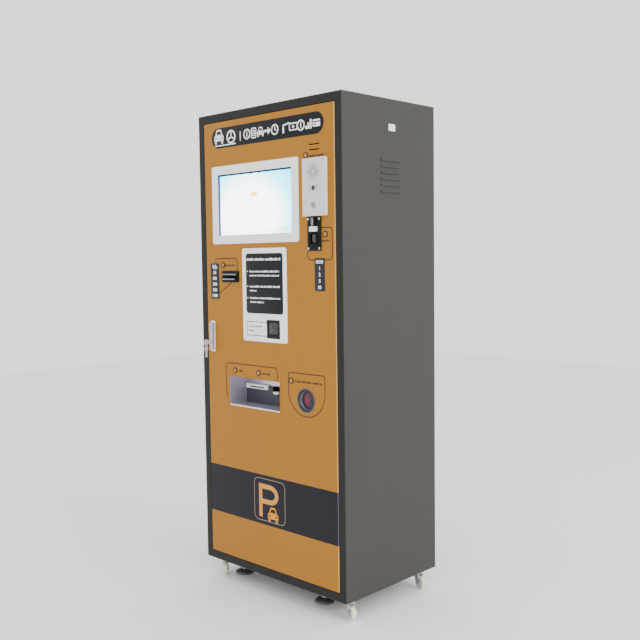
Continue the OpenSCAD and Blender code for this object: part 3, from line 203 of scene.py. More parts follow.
finish = {
    "gold": srgb(158, 104, 16),
    "sideGrey": srgb(54, 52, 49),
    "frameGrey": srgb(30, 30, 29),
    "bandBlue": srgb(29, 28, 35),
    "printRed": srgb(62, 26, 16),
}
goldPaint = paint("goldPaint", finish["gold"], 0.42, 1100, 0.00012, 0.10, 0.05, 0.2)
# a duller copy of the gold for the door's inside, painted for the weaker light there
goldInside = paint("goldInside", srgb(134, 100, 44), 0.5, 1100, 0.00012, 0.10, 0.08, 0.1)
sidePaint = paint("sidePaint", finish["sideGrey"], 0.55, 700, 0.0004, 0.16, 0.06)
framePaint = paint("framePaint", finish["frameGrey"], 0.5, 800, 0.0003, 0.12, 0.05, specular=0.18)
# paler paints for rounded edges and bends: painted highlights where the light catches them
frameEdgeHighlight = paint("frameEdgeHighlight", srgb(104, 106, 108), 0.4, 1200, 0.0001, 0.2, 0.05)
sideEdgeHighlight = paint("sideEdgeHighlight", srgb(168, 166, 164), 0.4, 1200, 0.0001, 0.2, 0.05)
goldEdgeHighlight = paint("goldEdgeHighlight", srgb(206, 164, 96), 0.36, 1200, 0.0001, 0.1, 0.05)
bandEdgeHighlight = paint("bandEdgeHighlight", srgb(84, 80, 96), 0.36, 1200, 0.0001, 0.1, 0.05)
bandFilm = paint("bandFilm", finish["bandBlue"], 0.48, 1300, 0.00008, 0.05, 0.04, specular=0.15)
pillFilm = paint("pillFilm", srgb(22, 25, 29), 0.42, 1300, 0.00006, 0.06, 0.05, specular=0.15)
labelFilm = paint("labelFilm", srgb(22, 24, 36), 0.4, 1300, 0.00006, 0.06, 0.04)
whiteInk = paint("whiteInk", srgb(240, 240, 238), 0.5, 1300, 0.00005, 0.02, 0.02)
goldInk = paint("goldInk", srgb(212, 138, 28), 0.45, 1300, 0.00005, 0.04, 0.03)
paleGoldInk = paint("paleGoldInk", srgb(140, 122, 108), 0.5, 1300, 0.00005, 0.04, 0.03)
redInk = paint("redInk", finish["printRed"], 0.5, 1300, 0.00005, 0.06, 0.04)
greyInk = paint("greyInk", srgb(74, 80, 86), 0.5, 1300, 0.00005, 0.04, 0.03)
whitePlastic = plastic("whitePlastic", srgb(238, 240, 241), 0.38, 1500, 0.00006, 0.15, 0.02)
blackPlastic = plastic("blackPlastic", srgb(20, 21, 22), 0.48)
glossBlack = plastic("glossBlack", srgb(12, 13, 15), 0.2, 600, 0.00002, 0.5)
deviceGrey = plastic("deviceGrey", srgb(70, 72, 76), 0.55)
mattBlack = paint("mattBlack", srgb(24, 25, 27), 0.6, 900, 0.0001, 0.12, 0.05, specular=0.16)
redPlastic = plastic("redPlastic", srgb(150, 40, 34), 0.4)
# dark navy for the display opening's walls: painted shade with a blue cast
openingShadeBlue = plastic("openingShadeBlue", srgb(18, 30, 110), 0.4)
keySilver = paint("keySilver", srgb(214, 214, 216), 0.3, 900, 0.00005, 0.06, 0.05, 0.4, 0.5)
creamTyre = plastic("creamTyre", srgb(226, 220, 200), 0.4, 300, 0.0002, 0.1)
hubWhite = plastic("hubWhite", srgb(205, 203, 196), 0.4)
footRubber = plastic("footRubber", srgb(58, 60, 60), 0.42, 500, 0.0002)
rubberSeal = plastic("rubberSeal", srgb(26, 26, 27), 0.75)
paperWhite = plastic("paperWhite", srgb(238, 237, 230), 0.8, 900, 0.0001)
amberLens = plastic("amberLens", srgb(176, 118, 44), 0.35, 300, 0.00003)
satinSteel = brushedMetal("satinSteel", srgb(205, 205, 208), 0.3)
trayUpright = brushedMetal("trayUpright", srgb(196, 192, 204), 0.27)
trayPale = paint("trayPale", srgb(184, 178, 194), 0.4, 900, 0.00008, 0.05, 0.12, 0.55)
silverFace = paint("silverFace", srgb(206, 207, 207), 0.42, 1500, 0.0001, 0.08, 0.03, 0.35)
zinc = platedMetal("zinc", srgb(186, 188, 190), 0.34)
darkZinc = platedMetal("darkZinc", srgb(96, 98, 100), 0.42)
brass = platedMetal("brass", srgb(206, 170, 96), 0.3)
screenGrey = glowing("screenGrey", srgb(110, 170, 190), 1.6)
screenPale = glowing("screenPale", srgb(214, 240, 238), 4)
lampRing = plastic("lampRing", srgb(24, 12, 8), 0.4)
labelInk = paint("labelInk", srgb(38, 16, 14), 0.5, 1300, 0.00005, 0.06, 0.04)
slateFilm = paint("slateFilm", srgb(26, 29, 33), 0.45, 1300, 0.00006, 0.05, 0.04, specular=0.15)
inkGrey = paint("inkGrey", srgb(46, 48, 50), 0.45, 1300, 0.00005, 0.05, 0.04)
# light grey for the banknote entry's lips: painted highlights
lipHighlightGrey = plastic("lipHighlightGrey", srgb(128, 132, 138), 0.3, 600, 0.00003, 0.3)
lipWhite = paint("lipWhite", srgb(236, 234, 244), 0.35, 900, 0.00006, 0.04, 0.05)
chuteGrey = paint("chuteGrey", srgb(62, 63, 71), 0.35, 900, 0.00008, 0.06, 0.06)
coneGrey = paint("coneGrey", srgb(92, 88, 100), 0.34, 900, 0.00008, 0.06, 0.06, 0.6)


# mesh helpers: every outline is a closed loop of points, and loops are joined into skins

def smoothByAngle(mesh, angle=0.6):
    bm = bmesh.new()
    bm.from_mesh(mesh)
    bmesh.ops.recalc_face_normals(bm, faces=bm.faces)
    for face in bm.faces:
        face.smooth = True
    for edge in bm.edges:
        edge.smooth = len(edge.link_faces) == 2 and edge.calc_face_angle(0.0) < angle
    bm.to_mesh(mesh)
    bm.free()


def meshPiece(name, bm, material, body, replaced=()):
    mesh = bpy.data.meshes.new(name)
    bm.to_mesh(mesh)
    bm.free()
    smoothByAngle(mesh)
    piece = bpy.data.objects.new(name, mesh)
    bpy.context.scene.collection.objects.link(piece)
    mesh.materials.append(material)
    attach(piece, body)
    if replaced:
        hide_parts(*replaced)
    return piece


def addLoft(bm, loops, capStart=True, capEnd=True, closed=False):
    rings = [[bm.verts.new(point) for point in loop] for loop in loops]
    pairs = list(zip(rings, rings[1:] + rings[:1])) if closed else list(zip(rings, rings[1:]))
    for a, b in pairs:
        for i in range(len(a)):
            j = (i + 1) % len(a)
            bm.faces.new((a[i], a[j], b[j], b[i]))
    if not closed and capStart:
        bm.faces.new(rings[0][::-1])
    if not closed and capEnd:
        bm.faces.new(rings[-1])
    return rings


def roundedOutline(w, h, r, steps=6):
    r = min(r, w / 2 - 0.01, h / 2 - 0.01)
    points = []
    for cx, cz, start in ((w / 2 - r, h / 2 - r, 0), (r - w / 2, h / 2 - r, 90), (r - w / 2, r - h / 2, 180),
                          (w / 2 - r, r - h / 2, 270)):
        for i in range(steps + 1):
            a = math.radians(start + 90 * i / steps)
            points.append((cx + r * math.cos(a), cz + r * math.sin(a)))
    return points


def circleOutline(r, steps=48):
    return [(r * math.cos(2 * math.pi * i / steps), r * math.sin(2 * math.pi * i / steps)) for i in range(steps)]


# a point on the door: x and z in mm, out in mm in front of the door's face
def doorPoint(x, out, z):
    return Vector((x * mm, doorY - out * mm, z * mm))


def onDoor(outline, cx, cz, out):
    return [doorPoint(cx + x, out, cz + z) for x, z in outline]


def addPlate(bm, cx, cz, w, h, r, back, front, edge=0.5, steps=6):
    rims = [(0, back), (0, front - edge), (edge * 0.3, front - edge * 0.3), (edge, front)]
    addLoft(bm, [onDoor(roundedOutline(w - 2 * inset, h - 2 * inset, r - inset, steps), cx, cz, out)
                 for inset, out in rims])


# a plate with an opening: outer is (w, h, r), inner is (w, h, r, dx, dz)
def addFrame(bm, cx, cz, outer, inner, back, front, edge=0.5):
    ow, oh, orad = outer
    iw, ih, irad, dx, dz = inner

    def outerLoop(shrink, out):
        return onDoor(roundedOutline(ow - 2 * shrink, oh - 2 * shrink, orad - shrink), cx, cz, out)

    def innerLoop(grow, out):
        return onDoor(roundedOutline(iw + 2 * grow, ih + 2 * grow, irad + grow), cx + dx, cz + dz, out)

    rims = [(0, front - edge), (edge * 0.3, front - edge * 0.3), (edge, front)]
    addLoft(bm, [innerLoop(0, back), outerLoop(0, back)] + [outerLoop(*rim) for rim in rims]
            + [innerLoop(*rim) for rim in rims[::-1]], closed=True)


# a disc, ring or turned shape on an axis along Y: profile is (radius, out) from back to front
def addTurned(bm, cx, cz, profile, steps=40, closed=False):
    loops = [onDoor(circleOutline(max(r, 0.01), steps), cx, cz, out) for r, out in profile]
    addLoft(bm, loops, closed=closed)


# flat shapes on the door, each a closed outline; an outline inside another is a hole
def addShapes(bm, outlines, cx, cz, back, front):
    curve = bpy.data.curves.new("shape", "CURVE")
    curve.dimensions = "2D"
    curve.fill_mode = "BOTH"
    curve.extrude = (front - back) / 2
    for outline in outlines:
        spline = curve.splines.new("POLY")
        spline.points.add(len(outline) - 1)
        for point, (x, z) in zip(spline.points, outline):
            point.co = (x, z, 0, 1)
        spline.use_cyclic_u = True
    addCurve(bm, curve, cx, cz, back, front)


def addCurve(bm, curve, cx, cz, back, front, fit=None):
    maker = bpy.data.objects.new("maker", curve)
    bpy.context.scene.collection.objects.link(maker)
    mesh = bpy.data.meshes.new_from_object(maker.evaluated_get(bpy.context.evaluated_depsgraph_get()))
    if fit:
        # figures are brought to their height and centred
        xs = [v.co.x for v in mesh.vertices]
        ys = [v.co.y for v in mesh.vertices]
        grow = fit / (max(ys) - min(ys))
        mesh.transform(Matrix.Translation((-(min(xs) + max(xs)) / 2, -(min(ys) + max(ys)) / 2, 0)))
        mesh.transform(Matrix.Diagonal((grow, grow, 1, 1)))
    toDoor = Matrix(((mm, 0, 0, cx * mm), (0, 0, -mm, doorY - (back + front) / 2 * mm), (0, mm, 0, cz * mm),
                     (0, 0, 0, 1)))
    mesh.transform(toDoor)
    start = len(bm.verts)
    bm.from_mesh(mesh)
    bm.verts.ensure_lookup_table()
    bmesh.ops.remove_doubles(bm, verts=bm.verts[start:], dist=1e-6)
    bpy.data.objects.remove(maker)
    bpy.data.curves.remove(curve)
    bpy.data.meshes.remove(mesh)


def addDigits(bm, digits, cx, cz, height, back, front, weight=0.02):
    curve = bpy.data.curves.new("digits", "FONT")
    curve.body = digits
    curve.offset = weight
    curve.extrude = (front - back) / 2
    addCurve(bm, curve, cx, cz, back, front, fit=height)


def rectangle(x0, z0, x1, z1):
    return [(x0, z0), (x1, z0), (x1, z1), (x0, z1)]


def moved(outline, dx, dz, grow=1.0):
    return [(x * grow + dx, z * grow + dz) for x, z in outline]


def arc(cx, cz, rx, rz, start, end, steps=8):
    return [(cx + rx * math.cos(math.radians(start + (end - start) * i / steps)),
             cz + rz * math.sin(math.radians(start + (end - start) * i / steps))) for i in range(steps + 1)]


# a line of constant width: one outline when open, an outer and an inner one when closed
def ribbon(points, width, closed=False):
    left, right = [], []
    n = len(points)
    for i, (x, z) in enumerate(points):
        before = points[i - 1] if closed or i else points[i]
        after = points[(i + 1) % n] if closed or i < n - 1 else points[i]
        d1 = Vector((x - before[0], z - before[1]))
        d2 = Vector((after[0] - x, after[1] - z))
        d1 = d1.normalized() if d1.length > 1e-6 else d2.normalized()
        d2 = d2.normalized() if d2.length > 1e-6 else d1
        normal = Vector((-(d1.y + d2.y), d1.x + d2.x)).normalized()
        reach = width / 2 / max(0.5, normal.dot(Vector((-d1.y, d1.x))))
        left.append((x + normal.x * reach, z + normal.y * reach))
        right.append((x - normal.x * reach, z - normal.y * reach))
    return [left, right] if closed else [left + right[::-1]]


# small blocks in groups that stand for a printed line, ending where the line ends
def dashes(dice, x0, x1, z, height):
    outlines = []
    x = x0
    left = dice.randint(5, 9)
    while x < x1 - height * 0.4:
        w = min(dice.uniform(0.42, 0.78) * height, x1 - x)
        h = height * dice.choice((1, 0.78, 0.78))
        outlines.append(moved(roundedOutline(w, h, height * 0.14, 2), x + w / 2, z - (height - h) / 2))
        left -= 1
        x += w + height * (0.2 if left else 0.62)
        left = left or dice.randint(5, 9)
    return outlines


# a piece on the door made of several plates, frames or turned shapes
def doorPiece(name, add, parts, material, replaced=()):
    bm = bmesh.new()
    for part in parts:
        add(bm, *part)
    return meshPiece(name, bm, material, "door", replaced)


# flat prints as one piece: each is its outlines and the place of their middle
def printPiece(name, prints, back, front, material, replaced=(), body="door"):
    bm = bmesh.new()
    for outlines, cx, cz in prints:
        addShapes(bm, outlines, cx, cz, back, front)
    return meshPiece(name, bm, material, body, replaced)


print("helpers ready")


# what each CAD node is made of
corners = ("front_left", "front_right", "rear_left", "rear_right")
coats = [
    (sidePaint, "left_side right_side top_cover rear_panel base_pan"),
    (framePaint, "front_frame"),
    (goldPaint, "door_panel"),
    (zinc, "panel_screws equipment_rack hinge_brackets hinge_knuckles caster_plates lock_case upper_bolt lower_bolt"),
    (zinc, " ".join("caster_fork_" + corner for corner in corners)),
    (satinSteel, "coin_box door_screws call_button scanner_cup"),
    (trayPale, "lock_lever"),
    (lipWhite, "lock_base"),
    (keySilver, "lock_key key_ring"),
    (blackPlastic, "fan_frame fan_rotor cable_gland note_cassette return_flap code_reader"),
    (deviceGrey, "coin_mechanism note_head display_module control_computer power_supply"),
    (redPlastic, "coin_hopper"),
    (brass, "hopper_disc"),
    (paperWhite, "paper_roll"),
    (trayUpright, "pickup_tray"),
    (whitePlastic, "intercom_case reject_button receipt_printer instruction_plate display_bezel"),
    (mattBlack, "coin_faceplate note_bezel"),
    (glossBlack, "display_glass"),
    (silverFace, "intercom_plate"),
    (bandFilm, "door_decals"),
    (creamTyre, " ".join("caster_wheel_" + corner for corner in corners)),
    (footRubber, " ".join("foot_" + corner for corner in corners)),
]
for material, names in coats:
    for name in names.split():
        materials = nodes[name].data.materials
        if len(materials):
            materials[0] = material
        else:
            materials.append(material)


# a second material on the faces of a node that a test picks out
def paintFaces(name, material, picked):
    mesh = nodes[name].data
    mesh.materials.append(material)
    for face in mesh.polygons:
        if picked(face.center, face.normal):
            face.material_index = len(mesh.materials) - 1


# the tray's flange is sprayed with the door; the door's inside gets a duller copy of the gold, a painted tone for the
# weaker light that falls there
paintFaces("pickup_tray", goldPaint, lambda c, n: n.y < -0.9 and c.y < doorY + 0.004)
# the tray's stub behind its back wall is painted black: painted shade in the hole behind the coin outlet
paintFaces("pickup_tray", blackPlastic, lambda c, n: c.y > doorY + 0.0915)
paintFaces("door_panel", goldInside, lambda c, n: c.y > doorY + 0.0012 and n.y > -0.5)


# folded sheet: a small rounded edge in a paler paint, a painted highlight where the bend catches the light
def paleEdgeHighlights(name, highlightMaterial, width, segments=2):
    node = nodes[name]
    node.data.materials.append(highlightMaterial)
    highlightBevel = node.modifiers.new("edges", "BEVEL")
    highlightBevel.width = width
    highlightBevel.segments = segments
    highlightBevel.limit_method = "ANGLE"
    highlightBevel.angle_limit = math.radians(50)
    highlightBevel.material = len(node.data.materials) - 1


for name in ("left_side", "right_side", "top_cover"):
    paleEdgeHighlights(name, sideEdgeHighlight, 0.0014)
paleEdgeHighlights("front_frame", frameEdgeHighlight, 0.0008)
paleEdgeHighlights("door_panel", goldEdgeHighlight, 0.0006)
print("cabinet painted")


# header: a dark plaque with service signs in place of words
headerParts = {"cx": 0, "cz": 1707, "w": 588, "h": 74, "thick": 1.5, "ink": 0.25, "emblemX": -215, "barX": -128.5,
               "signsFrom": -92, "signsTo": 262, "signH": 39, "gap": 0.5, "wheelX": -181, "wheelR": 22}


def carFront(grow, dx=0, dz=0):
    # cabin with its windscreen cut out, body with two lamps cut out, two wheels
    cabin = [(-0.36, 0.1), (-0.25, 0.42), (-0.17, 0.48), (0.17, 0.48), (0.25, 0.42), (0.36, 0.1)]
    screen = [(-0.25, 0.14), (-0.18, 0.36), (0.18, 0.36), (0.25, 0.14)]
    body = [(-0.42, 0.08), (0.42, 0.08), (0.48, 0), (0.48, -0.28), (-0.48, -0.28), (-0.48, 0)]
    lamps = [moved(circleOutline(0.075, 12), x, -0.09) for x in (-0.31, 0.31)]
    wheels = [rectangle(x - 0.09, -0.46, x + 0.09, -0.3) for x in (-0.33, 0.33)]
    return [[moved(o, dx, dz, grow) for o in group] for group in ([cabin, screen], [body] + lamps, wheels)]


def serviceSigns():
    ring = ribbon(circleOutline(0.42, 28), 0.13, True)
    coin = [ring + [rectangle(-0.06, -0.24, 0.06, 0.24)]]
    clock = [ring + ribbon([(0, 0.26), (0, 0), (0.2, -0.08)], 0.11)]
    ticket = [ribbon(roundedOutline(0.62, 0.86, 0.08, 2), 0.11, True)
              + [rectangle(-0.17, z - 0.05, 0.17, z + 0.05) for z in (0.2, 0, -0.2)]]
    note = [ribbon(roundedOutline(0.94, 0.58, 0.06, 2), 0.11, True) + [circleOutline(0.13, 16)]]
    card = [[roundedOutline(0.9, 0.62, 0.1, 3), rectangle(-0.44, 0.06, 0.44, 0.17),
             rectangle(-0.33, -0.18, -0.05, -0.08)]]
    arrow = [[[(-0.42, -0.1), (0.02, -0.1), (0.02, -0.34), (0.44, 0), (0.02, 0.34), (0.02, 0.1), (-0.42, 0.1)]]]
    barrier = [[rectangle(-0.42, -0.46, -0.22, 0.1)], ribbon([(-0.4, 0.2), (0.46, 0.38)], 0.13)]
    steps = [[rectangle(-0.42 + 0.3 * i, -0.44, -0.2 + 0.3 * i, -0.14 + 0.28 * i)] for i in range(3)]
    return [coin, ticket, carFront(1), arrow, clock], [barrier, note, coin, steps, card]


def makeHeader():
    p = headerParts
    cz, back, front = p["cz"], p["thick"] - 0.1, p["thick"] + p["ink"]
    doorPiece("headerPlaque", addPlate, [(p["cx"], cz, p["w"], p["h"], p["h"] / 2, 0, p["thick"], 0.5, 14)],
              pillFilm, ["door_decals"])
    first, second = serviceSigns()
    pitch = (p["signsTo"] - p["signsFrom"]) / (len(first) + len(second) + p["gap"] - 1)
    prints = []
    for i, sign in enumerate(first + second):
        x = p["signsFrom"] + pitch * (i + (p["gap"] if i >= len(first) else 0))
        grow = p["signH"] * (1 if len(sign) < 3 else 0.94)      # the car is a little smaller
        prints += [([moved(o, 0, 0, grow) for o in group], x, cz - 1) for group in sign]
    # a car beside a steering wheel, underlined by a kerb, and a bar after them
    wheel = [ribbon(circleOutline(p["wheelR"], 32), 6, True)]
    for end in (90, 210, 330):
        a, reach = math.radians(end), p["wheelR"] - 2.5
        wheel.append(ribbon([(0, 0), (reach * math.cos(a), reach * math.sin(a))], 5))
    prints += [(group, p["emblemX"], cz) for group in carFront(56, -36, 5)]
    prints += [(part, p["wheelX"], cz - 1) for part in wheel]
    prints += [([rectangle(-60, -30, 60, -26)], p["emblemX"], cz), ([rectangle(-2, -17, 2, 17)], p["barX"], cz - 4)]
    printPiece("headerSigns", prints, back, front, whiteInk)


# lower band: film over the door's bent edges, ending at the bend on the hinge side, with the parking sign
bandParts = {"z0": 270, "z1": 456, "film": 0.16, "filmThick": 0.12, "wrap": {-1: 7, 1: 3.1}, "bend": 3, "ink": 0.3,
             "signX": -3.6, "signZ": 363.6, "signW": 164.6, "signH": 157, "signR": 21, "line": 2.5,
             "letter": 15, "letterEdge": 18.6}


# points round the door's bent edge: side is -1 left or 1 right, r is measured from the bend's middle
def bendPoints(side, r, angles):
    p = bandParts
    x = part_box("door_panel")[1 if side > 0 else 0].x / mm - side * p["bend"]
    return [(x + side * math.sin(math.radians(a)) * r, p["bend"] - math.cos(math.radians(a)) * r) for a in angles]


# a strip of one section that runs up the door
def addUpright(bm, section, z0, z1):
    addLoft(bm, [[doorPoint(x, -y, z) for x, y in section] for z in (z0, z1)])


# the bright line where light catches a bent edge of the door
def addBendSheen(bm, side, z0, z1, film):
    r = bandParts["bend"] + film
    addUpright(bm, bendPoints(side, r + 0.06, range(15, 76, 10)) + bendPoints(side, r - 0.08, range(75, 14, -10)),
               z0, z1)


def makeBendSheen():
    p = bandParts
    lo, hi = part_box("door_panel")
    runs = [(lo.z / mm + 1, p["z0"]), (p["z1"], hi.z / mm - 1)]
    doorPiece("doorBendSheen", addBendSheen, [(side, z0, z1, 0) for side in (-1, 1) for z0, z1 in runs],
              goldEdgeHighlight)
    doorPiece("bandBendSheen", addBendSheen, [(side, p["z0"], p["z1"], p["film"]) for side in (-1, 1)],
              bandEdgeHighlight)


# the sign's letter: a stem and a bow of one width
def signLetter(width):
    stem = rectangle(-48 - width / 2, -57 - width / 2, -48 + width / 2, 50 + width / 2)
    bow = [(-48 + width / 2, 50)] + arc(3, 22, 36, 28, 90, -90, 16) + [(-48 + width / 2, -6)]
    return [[stem], ribbon(bow, width)]


def makeBand():
    p = bandParts
    lo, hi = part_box("door_panel")
    path = []
    for side in (-1, 1):
        edge = [(hi.x if side > 0 else lo.x) / mm + side * p["film"], p["wrap"][side]]
        turn = bendPoints(side, p["bend"] + p["film"], range(0, 91, 15)) + [tuple(edge)]
        path += turn[::side]
    thick = p["filmThick"]
    inner = [(x - math.copysign(thick, x) if abs(x) > hi.x / mm - 0.1 else x, y + thick) for x, y in path]
    doorPiece("lowerBand", addUpright, [(path + inner[::-1], p["z0"], p["z1"])], bandFilm,
              ["door_decals"])
    back, front = p["film"] - 0.08, p["film"] + p["ink"]
    ring = ribbon(roundedOutline(p["signW"], p["signH"], p["signR"], 8), p["line"], True)
    x, z = p["signX"], p["signZ"]
    printPiece("parkingSignEdge", [(part, x, z) for part in [ring] + signLetter(p["letterEdge"])], back, front,
               paleGoldInk)
    printPiece("parkingSign", [(part, x, z) for part in signLetter(p["letter"]) + carFront(58, 18, -50)],
               back, front + 0.12, goldInk)


# guide lines, lamps and dashes printed on the door
guideParts = {"line": 3.7, "ink": 0.2, "label": 7.6, "lampR": 11, "lampOut": 3}
lampPlaces = [(207.7, 1602), (296.2, 1332.4), (-243.8, 1230.7), (-184.2, 833.4), (-52.1, 833.4), (121.1, 821)]
labelPlaces = [(258, 1598, 68), (299.5, 1311, 40), (-201, 1230, 58), (-150.5, 833.4, 25), (-11.5, 833.4, 47),
               (205.8, 821, 135.5)]


def makeGuides():
    p = guideParts
    coinLine = ([(278.5, 1355)] + arc(316, 1343, 12, 12, 90, 0) + arc(312, 1262, 16, 16, 0, -90)
                + arc(228, 1262, 16, 16, 270, 180) + [(212, 1277)])
    noteLine = [(-286, 1238)] + arc(-277, 1246, 9, 9, 180, 90) + arc(-170, 1246, 9, 9, 90, 0) + [(-161, 1209)]
    pointer = [(-193.4, 1166), (-267, 1123)]
    trayLine = ([(-217, 733)] + arc(-223, 747, 14, 14, 270, 180) + arc(-225, 847, 12, 12, 180, 90)
                + arc(37, 847, 12, 12, 90, 0) + [(49, 809)])
    shield = (arc(116, 840, 10, 10, 180, 90) + arc(276, 840, 10, 10, 90, 0) + arc(196, 787, 90, 88, 0, -180, 24))
    lines = [ribbon(line, p["line"]) for line in (coinLine, noteLine, pointer, trayLine)]
    lines.append(ribbon(shield, p["line"], True))
    printPiece("guideLines", [(line, 0, 0) for line in lines], 0, p["ink"], redInk, ["door_decals"])
    dice = random.Random(4)
    labels = [(dashes(dice, x - w / 2, x + w / 2, z, p["label"]), 0, 0) for x, z, w in labelPlaces]
    printPiece("deviceLabels", labels, 0, p["ink"], labelInk)
    r, out = p["lampR"], p["lampOut"]
    ring = [(r - 3.6, 0.2), (r, 0), (r, out - 1), (r - 0.8, out - 0.2), (r - 1.8, out), (r - 3, out - 0.3),
            (r - 3.6, out - 1)]
    lens = [(r - 3.7, 0.1), (r - 3.7, out - 1.6), (r - 5.4, out - 0.7), (r - 8, out - 0.2), (0.01, out)]
    doorPiece("lampRings", addTurned, [(x, z, ring, 36, True) for x, z in lampPlaces], lampRing,
              ["door_decals"])
    doorPiece("lampLenses", addTurned, [(x, z, lens, 32) for x, z in lampPlaces], amberLens)


# denomination plates: figures in rows under a coin or a note sign
plateParts = {"thick": 1, "figure": 12.5, "ink": 0.2}
platePlaces = [("coin", 268.2, 1196.2, 47.3, 112, ["1", "2", "5", "10"]),
               ("note", -292.9, 1169.2, 49.2, 135.5, ["50", "100", "200", "500", "1000"])]


def makeValuePlates():
    p = plateParts
    plates, figures = bmesh.new(), bmesh.new()
    for kind, cx, cz, w, h, rows in platePlaces:
        addPlate(plates, cx, cz, w, h, 3, 0, p["thick"], 0.35)
        pitch = (h - 4) / (len(rows) + 1)
        back, front = p["thick"] - 0.1, p["thick"] + p["ink"]
        top = cz + h / 2 - 2 - pitch / 2
        if kind == "coin":
            for dx in (-11, 0, 11):
                addShapes(figures, ribbon(circleOutline(4.6, 20), 2.6, True), cx + dx, top, back, front)
        else:
            for dx, dz in ((-3, 2), (3, -3)):
                addShapes(figures, ribbon(roundedOutline(20, 8.5, 1, 2), 2, True), cx + dx, top + dz, back, front)
        for i, row in enumerate(rows):
            addDigits(figures, row, cx, top - pitch * (i + 1), p["figure"], back, front, 0.03)
    meshPiece("valuePlates", plates, labelFilm, "door", ["door_decals"])
    meshPiece("valueFigures", figures, whiteInk, "door")


makeHeader()
makeBand()
makeBendSheen()
makeGuides()
makeValuePlates()
print("door prints made")


# display: soft-edged white bezel, a navy lining in its opening painted with the shade and blue cast on the opening's
# walls, lit picture and glass
displayParts = {"cx": -62.5, "cz": 1456, "w": 469, "h": 292, "r": 9, "out": 3, "edge": 1.3,
                "screenW": 399, "screenH": 228, "glassBack": -9, "glassFront": -6, "bright": 7}


def screenPicture():
    mat, tree, shader = newMaterial("screenPicture", (0.02, 0.02, 0.02, 1), 0.25)
    cx, cz = displayParts["cx"], displayParts["cz"]
    black, white, cyan = (0, 0, 0, 1), (1, 1, 1, 1), (0.04, 0.5, 0.68, 1)
    page = glowSpot(tree, (cx - 35, 0, cz - 50), (290, 222),
                    [(0, cyan), (0.2, (0.13, 0.68, 0.84, 1)), (0.52, white), (1, white)])
    badge = glowSpot(tree, (cx - 5, 0, cz + 33), (34, 17), [(0, black), (0.3, black), (0.6, white)])
    faint = glowSpot(tree, (cx - 15, 0, cz + 8), (52, 18), [(0, black), (1, (0.35, 0.35, 0.35, 1))])
    for tone, color in ((badge, (0.62, 0.56, 0.02, 1)), (faint, (1, 0.95, 0.6, 1))):
        mix = tree.nodes.new("ShaderNodeMix")
        mix.data_type = "RGBA"
        tree.links.new(tone, mix.inputs["Factor"])
        tree.links.new(page, mix.inputs[6])
        mix.inputs[7].default_value = color
        page = mix.outputs[2]
    tree.links.new(page, shader.inputs["Emission Color"])
    shader.inputs["Emission Strength"].default_value = displayParts["bright"]
    addBump(tree, shader, noiseNode(tree, objectCoords(tree), 2600, 1.0), 0.08, 0.00002)
    return mat


def makeDisplay():
    p = displayParts
    cx, cz, w, h = p["cx"], p["cz"], p["w"], p["h"]
    sw, sh, level = p["screenW"], p["screenH"], p["glassFront"]
    doorPiece("displayBezel", addFrame, [(cx, cz, (w, h, p["r"]), (sw, sh, 1.5, 0, 0), 0, p["out"], p["edge"])],
              whitePlastic, ["display_bezel"])
    # the walls of the opening: dark navy, painted shade with a blue cast
    doorPiece("displayOpeningShade", addFrame, [(cx, cz, (sw - 0.02, sh - 0.02, 1.5), (sw - 1.2, sh - 1.2, 1, 0, 0), level,
                                           p["out"] - p["edge"], 0.1)], openingShadeBlue)
    doorPiece("displayGlass", addPlate, [(cx, cz, sw + 18, sh + 18, 2, p["glassBack"], level, 0.3)], glossBlack,
              ["display_glass"])
    doorPiece("displayPicture", addPlate, [(cx + 1.2, cz - 2.6, sw - 3.8, sh - 6.6, 1, level - 0.2, level + 0.12,
                                            0.05)], screenPicture())
    # a taskbar, a side list and a faint window on the picture
    dice = random.Random(8)
    foot = -sh / 2
    bars = [rectangle(sw * 0.26, foot + 14, sw / 2 - 6, foot + 16.4),
            rectangle(sw * 0.40, foot + 21, sw * 0.42, foot + 24),
            rectangle(-sw / 2 + 6, foot + 7, sw / 2 - 4, foot + 7.8)]
    printPiece("displayTaskbar", [(bars, cx, cz), (dashes(dice, sw * 0.16, sw * 0.24, foot + 15, 2.4), cx, cz)],
               level, level + 0.3, screenGrey)
    icons = [([roundedOutline(7, 7, 1.5, 3)], cx - sw / 2 + 14, cz + sh / 2 - 22 - i * 27) for i in range(5)]
    printPiece("displayIcons", icons, level, level + 0.3, screenPale)


# instruction plate with its dark panel, printed lines and code reader
guideCard = {"cx": -11.4, "cz": 1121, "w": 236, "h": 341, "r": 9, "out": 3,
             "panel": (-10.2, 1163, 197.2, 219.4, 11), "box": (-52.7, 997.2, 109.4, 50.5),
             "reader": (35.8, 998.5, 67.5, 5)}


